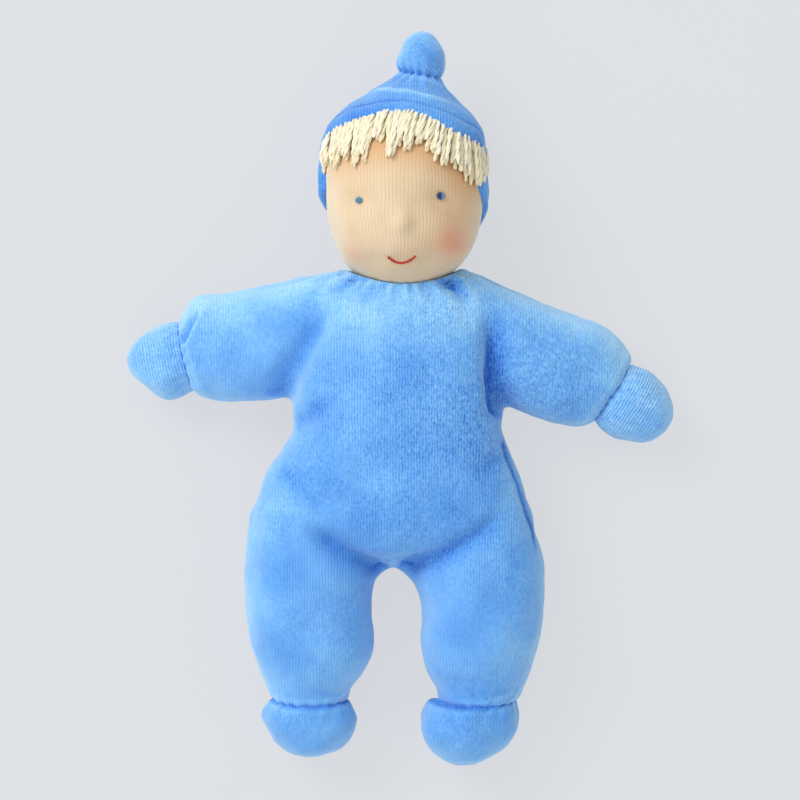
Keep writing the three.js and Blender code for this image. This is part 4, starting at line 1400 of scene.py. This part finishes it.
for count, lift, long_share, pale in LAYERS:
    for i in range(count):
        place = (i + 0.5 + rng.uniform(-0.35, 0.35)) / count
        column = FRINGE_START + (FRINGE_END - FRINGE_START) * place
        end = column + along_table(LEANS, column) + rng.normal(0, 1.5)
        end = end + LOCK_PULL * (LOCKS[np.argmin(np.abs(LOCKS - end))] - end)
        end = np.clip(end, LOCKS[0], LOCKS[-1])
        x_root, top = seen(column, along_table(EDGE, column) - 1, FRINGE_HEIGHT)
        x_tip, tip_y = seen(end, along_table(TIPS, end), FRINGE_HEIGHT)
        length = max((top - tip_y) * long_share * rng.uniform(0.8, 1.03), 4)
        under = 3.5 + 4 * smooth((abs(column - 402) - 60) / 16)
        s = np.linspace(-under / length, 1, max(int((length + under) / SAMPLE_LENGTH), 10))
        ease = np.clip(s, 0, 1)
        bow = rng.normal(0, 0.5) * np.sin(ease * np.pi) + rng.normal(0, 0.35) * ease**3
        out_from_edge = 1 - np.exp(-np.maximum(length * s + 1.5, 0) / 2.2)
        lifted = ROOT_LIFT + (lift - ROOT_LIFT + rng.normal(0, 0.2)) * out_from_edge
        lifted = lifted + 0.5 * np.sin(ease * np.pi) - 0.5 * ease**3 * (lift > 2)
        lifted = lifted + 0.7 * smooth((column - 468) / 12)
        xs = x_root + (x_tip - x_root) * ease**1.2 + bow
        path = over_face(xs, top - length * s, np.maximum(lifted, 0.7))
        turn = rng.uniform(0, 2 * np.pi) + 2 * np.pi * length * s / TWIST_LENGTH
        a, b = across_path(path, (0.1, 0.1, 1.0))
        # The layer's paleness, so painted shade on the lower layers, with some at random and paler towards
        # the tips
        tint = np.clip(pale + rng.uniform(0, 0.3) + 0.12 * ease, 0, 1)
        for ply in (0, np.pi):
            offset = a * np.cos(turn + ply)[:, None] + b * np.sin(turn + ply)[:, None]
            plies.append(path + PLY_OFFSET * offset)
            ply_sizes.append(PLY_RADIUS * (1 - 0.35 * np.clip((ease - 0.88) / 0.12, 0, 1)))
            tints.append(np.repeat(tint, PLY_SIDES))

p, f, _ = tubes(plies, ply_sizes, PLY_SIDES)
fringe = add_piece("fringe", p, f, yarn, None, {"tint": np.concatenate(tints)})
declare(fringe, "head", "yarn", None, "hair_fringe")


EYE_THREAD = 0.23
MOUTH_THREAD = 0.34


def eye(side, column, row, radius, materials, count=9):
    """Satin stitches side by side across a round, each a low arch of thread."""
    x0, y0 = seen(column, row, FACE_HEIGHT)
    paths, kinds = [], []
    s = np.linspace(-1, 1, 9)
    for i in range(count):
        across = (i + 0.5) / count * 2 - 1
        half = math.sqrt(max(1 - across**2, 0.12)) * radius
        arch = 0.75 * np.sqrt(np.clip(1 - (s * half / radius) ** 2 - 0.7 * across**2, 0, 1))
        paths.append(over_face(x0 + across * radius + 0 * s, y0 + half * s, 0.15 + arch - 0.8))
        kinds.append(0 if across < 0.05 else len(materials) - 1)
    points, faces, owners = tubes(paths, [EYE_THREAD] * count, 6)
    piece = add_piece(f"{side}_eye_stitches", points, faces, materials[0])
    for material in materials[1:]:
        piece.data.materials.append(material)
    which = np.array(kinds)[owners[faces[:, 0]]]
    piece.data.polygons.foreach_set("material_index", which.astype(np.int32))
    declare(piece, "head", "eye_thread", None, f"{side}_eye")


eye("right", 358.3, 200, 1.3, [teal_thread])
eye("left", 441.3, 195.8, 1.7, [navy_thread, violet_thread])

LIP_LINE = [(387.5, 256.5), (393.5, 260.5), (401.5, 262.3), (409.5, 260.2), (416, 255.5)]
lip_line = np.array([seen(column, row, 62) for column, row in LIP_LINE])
s = np.linspace(0, 1, 40)
mx = np.interp(s, np.linspace(0, 1, len(lip_line)), lip_line[:, 0])
my = curve(lip_line, mx)
paths = []
for phase in (0, np.pi):
    twist = phase + 2 * np.pi * s * 5
    paths.append(over_face(mx, my + 0.16 * np.cos(twist), 0.3 + 0.16 * np.sin(twist)))
p, f, _ = tubes(paths, [MOUTH_THREAD] * 2, 8)
mouth = add_piece("mouth_stitches", p, f, red_thread)
declare(mouth, "head", "red_thread", None, "mouth")


# Floor and light

FLOOR_REACH = 3.0
FLOOR_GLOW = 0.84
FLOOR_COLOUR = (222, 224, 228)
FLOOR_GRAIN = (218, 220, 224)
SKY_STRENGTH = 0.66
LAMP_SIZE = 1.1
m = Material("pale_floor")
grain = m.noise(m.node("TexCoord").outputs["Object"], 40)
m.put("Base Color", m.mix(grain, srgb(*FLOOR_GRAIN), srgb(*FLOOR_COLOUR)))
m.put("Roughness", 0.9)
glow = m.node("Emission")
glow.inputs["Color"].default_value = srgb(*FLOOR_COLOUR)
blend = m.node("MixShader")
seen_directly = Value(m, m.node("LightPath").outputs["Is Camera Ray"]) * FLOOR_GLOW
for socket, value in zip(blend.inputs, (seen_directly, m.shader.outputs[0], glow.outputs[0])):
    m.put(socket, value)
m.put(m.tree.nodes["Material Output"].inputs["Surface"], blend.outputs[0])
corners = [(x * FLOOR_REACH, y * FLOOR_REACH, 0) for x, y in ((-1, -1), (1, -1), (1, 1), (-1, 1))]
floor_mesh = bpy.data.meshes.new("floor")
floor_mesh.from_pydata(corners, [], [(0, 1, 2, 3)])
floor_mesh.materials.append(m.material)
floor = bpy.data.objects.new("floor", floor_mesh)
bpy.context.scene.collection.objects.link(floor)

world = bpy.data.worlds.new("world")
world.use_nodes = True
bpy.context.scene.world = world
background = world.node_tree.nodes["Background"]
background.inputs["Color"].default_value = (1, 1, 1, 1)
background.inputs["Strength"].default_value = SKY_STRENGTH


def lamp(name, place, power):
    data = bpy.data.lights.new(name, "AREA")
    data.shape = "DISK"
    data.size = LAMP_SIZE
    data.energy = power
    lamp_object = bpy.data.objects.new(name, data)
    lamp_object.location = place
    lamp_object.rotation_euler = (-Vector(place)).to_track_quat("-Z", "Y").to_euler()
    bpy.context.scene.collection.objects.link(lamp_object)


lamp("key_lamp", (-1.05, 1.0, 1.3), 22)
lamp("fill_lamp", (-0.3, -1.4, 1.1), 5)
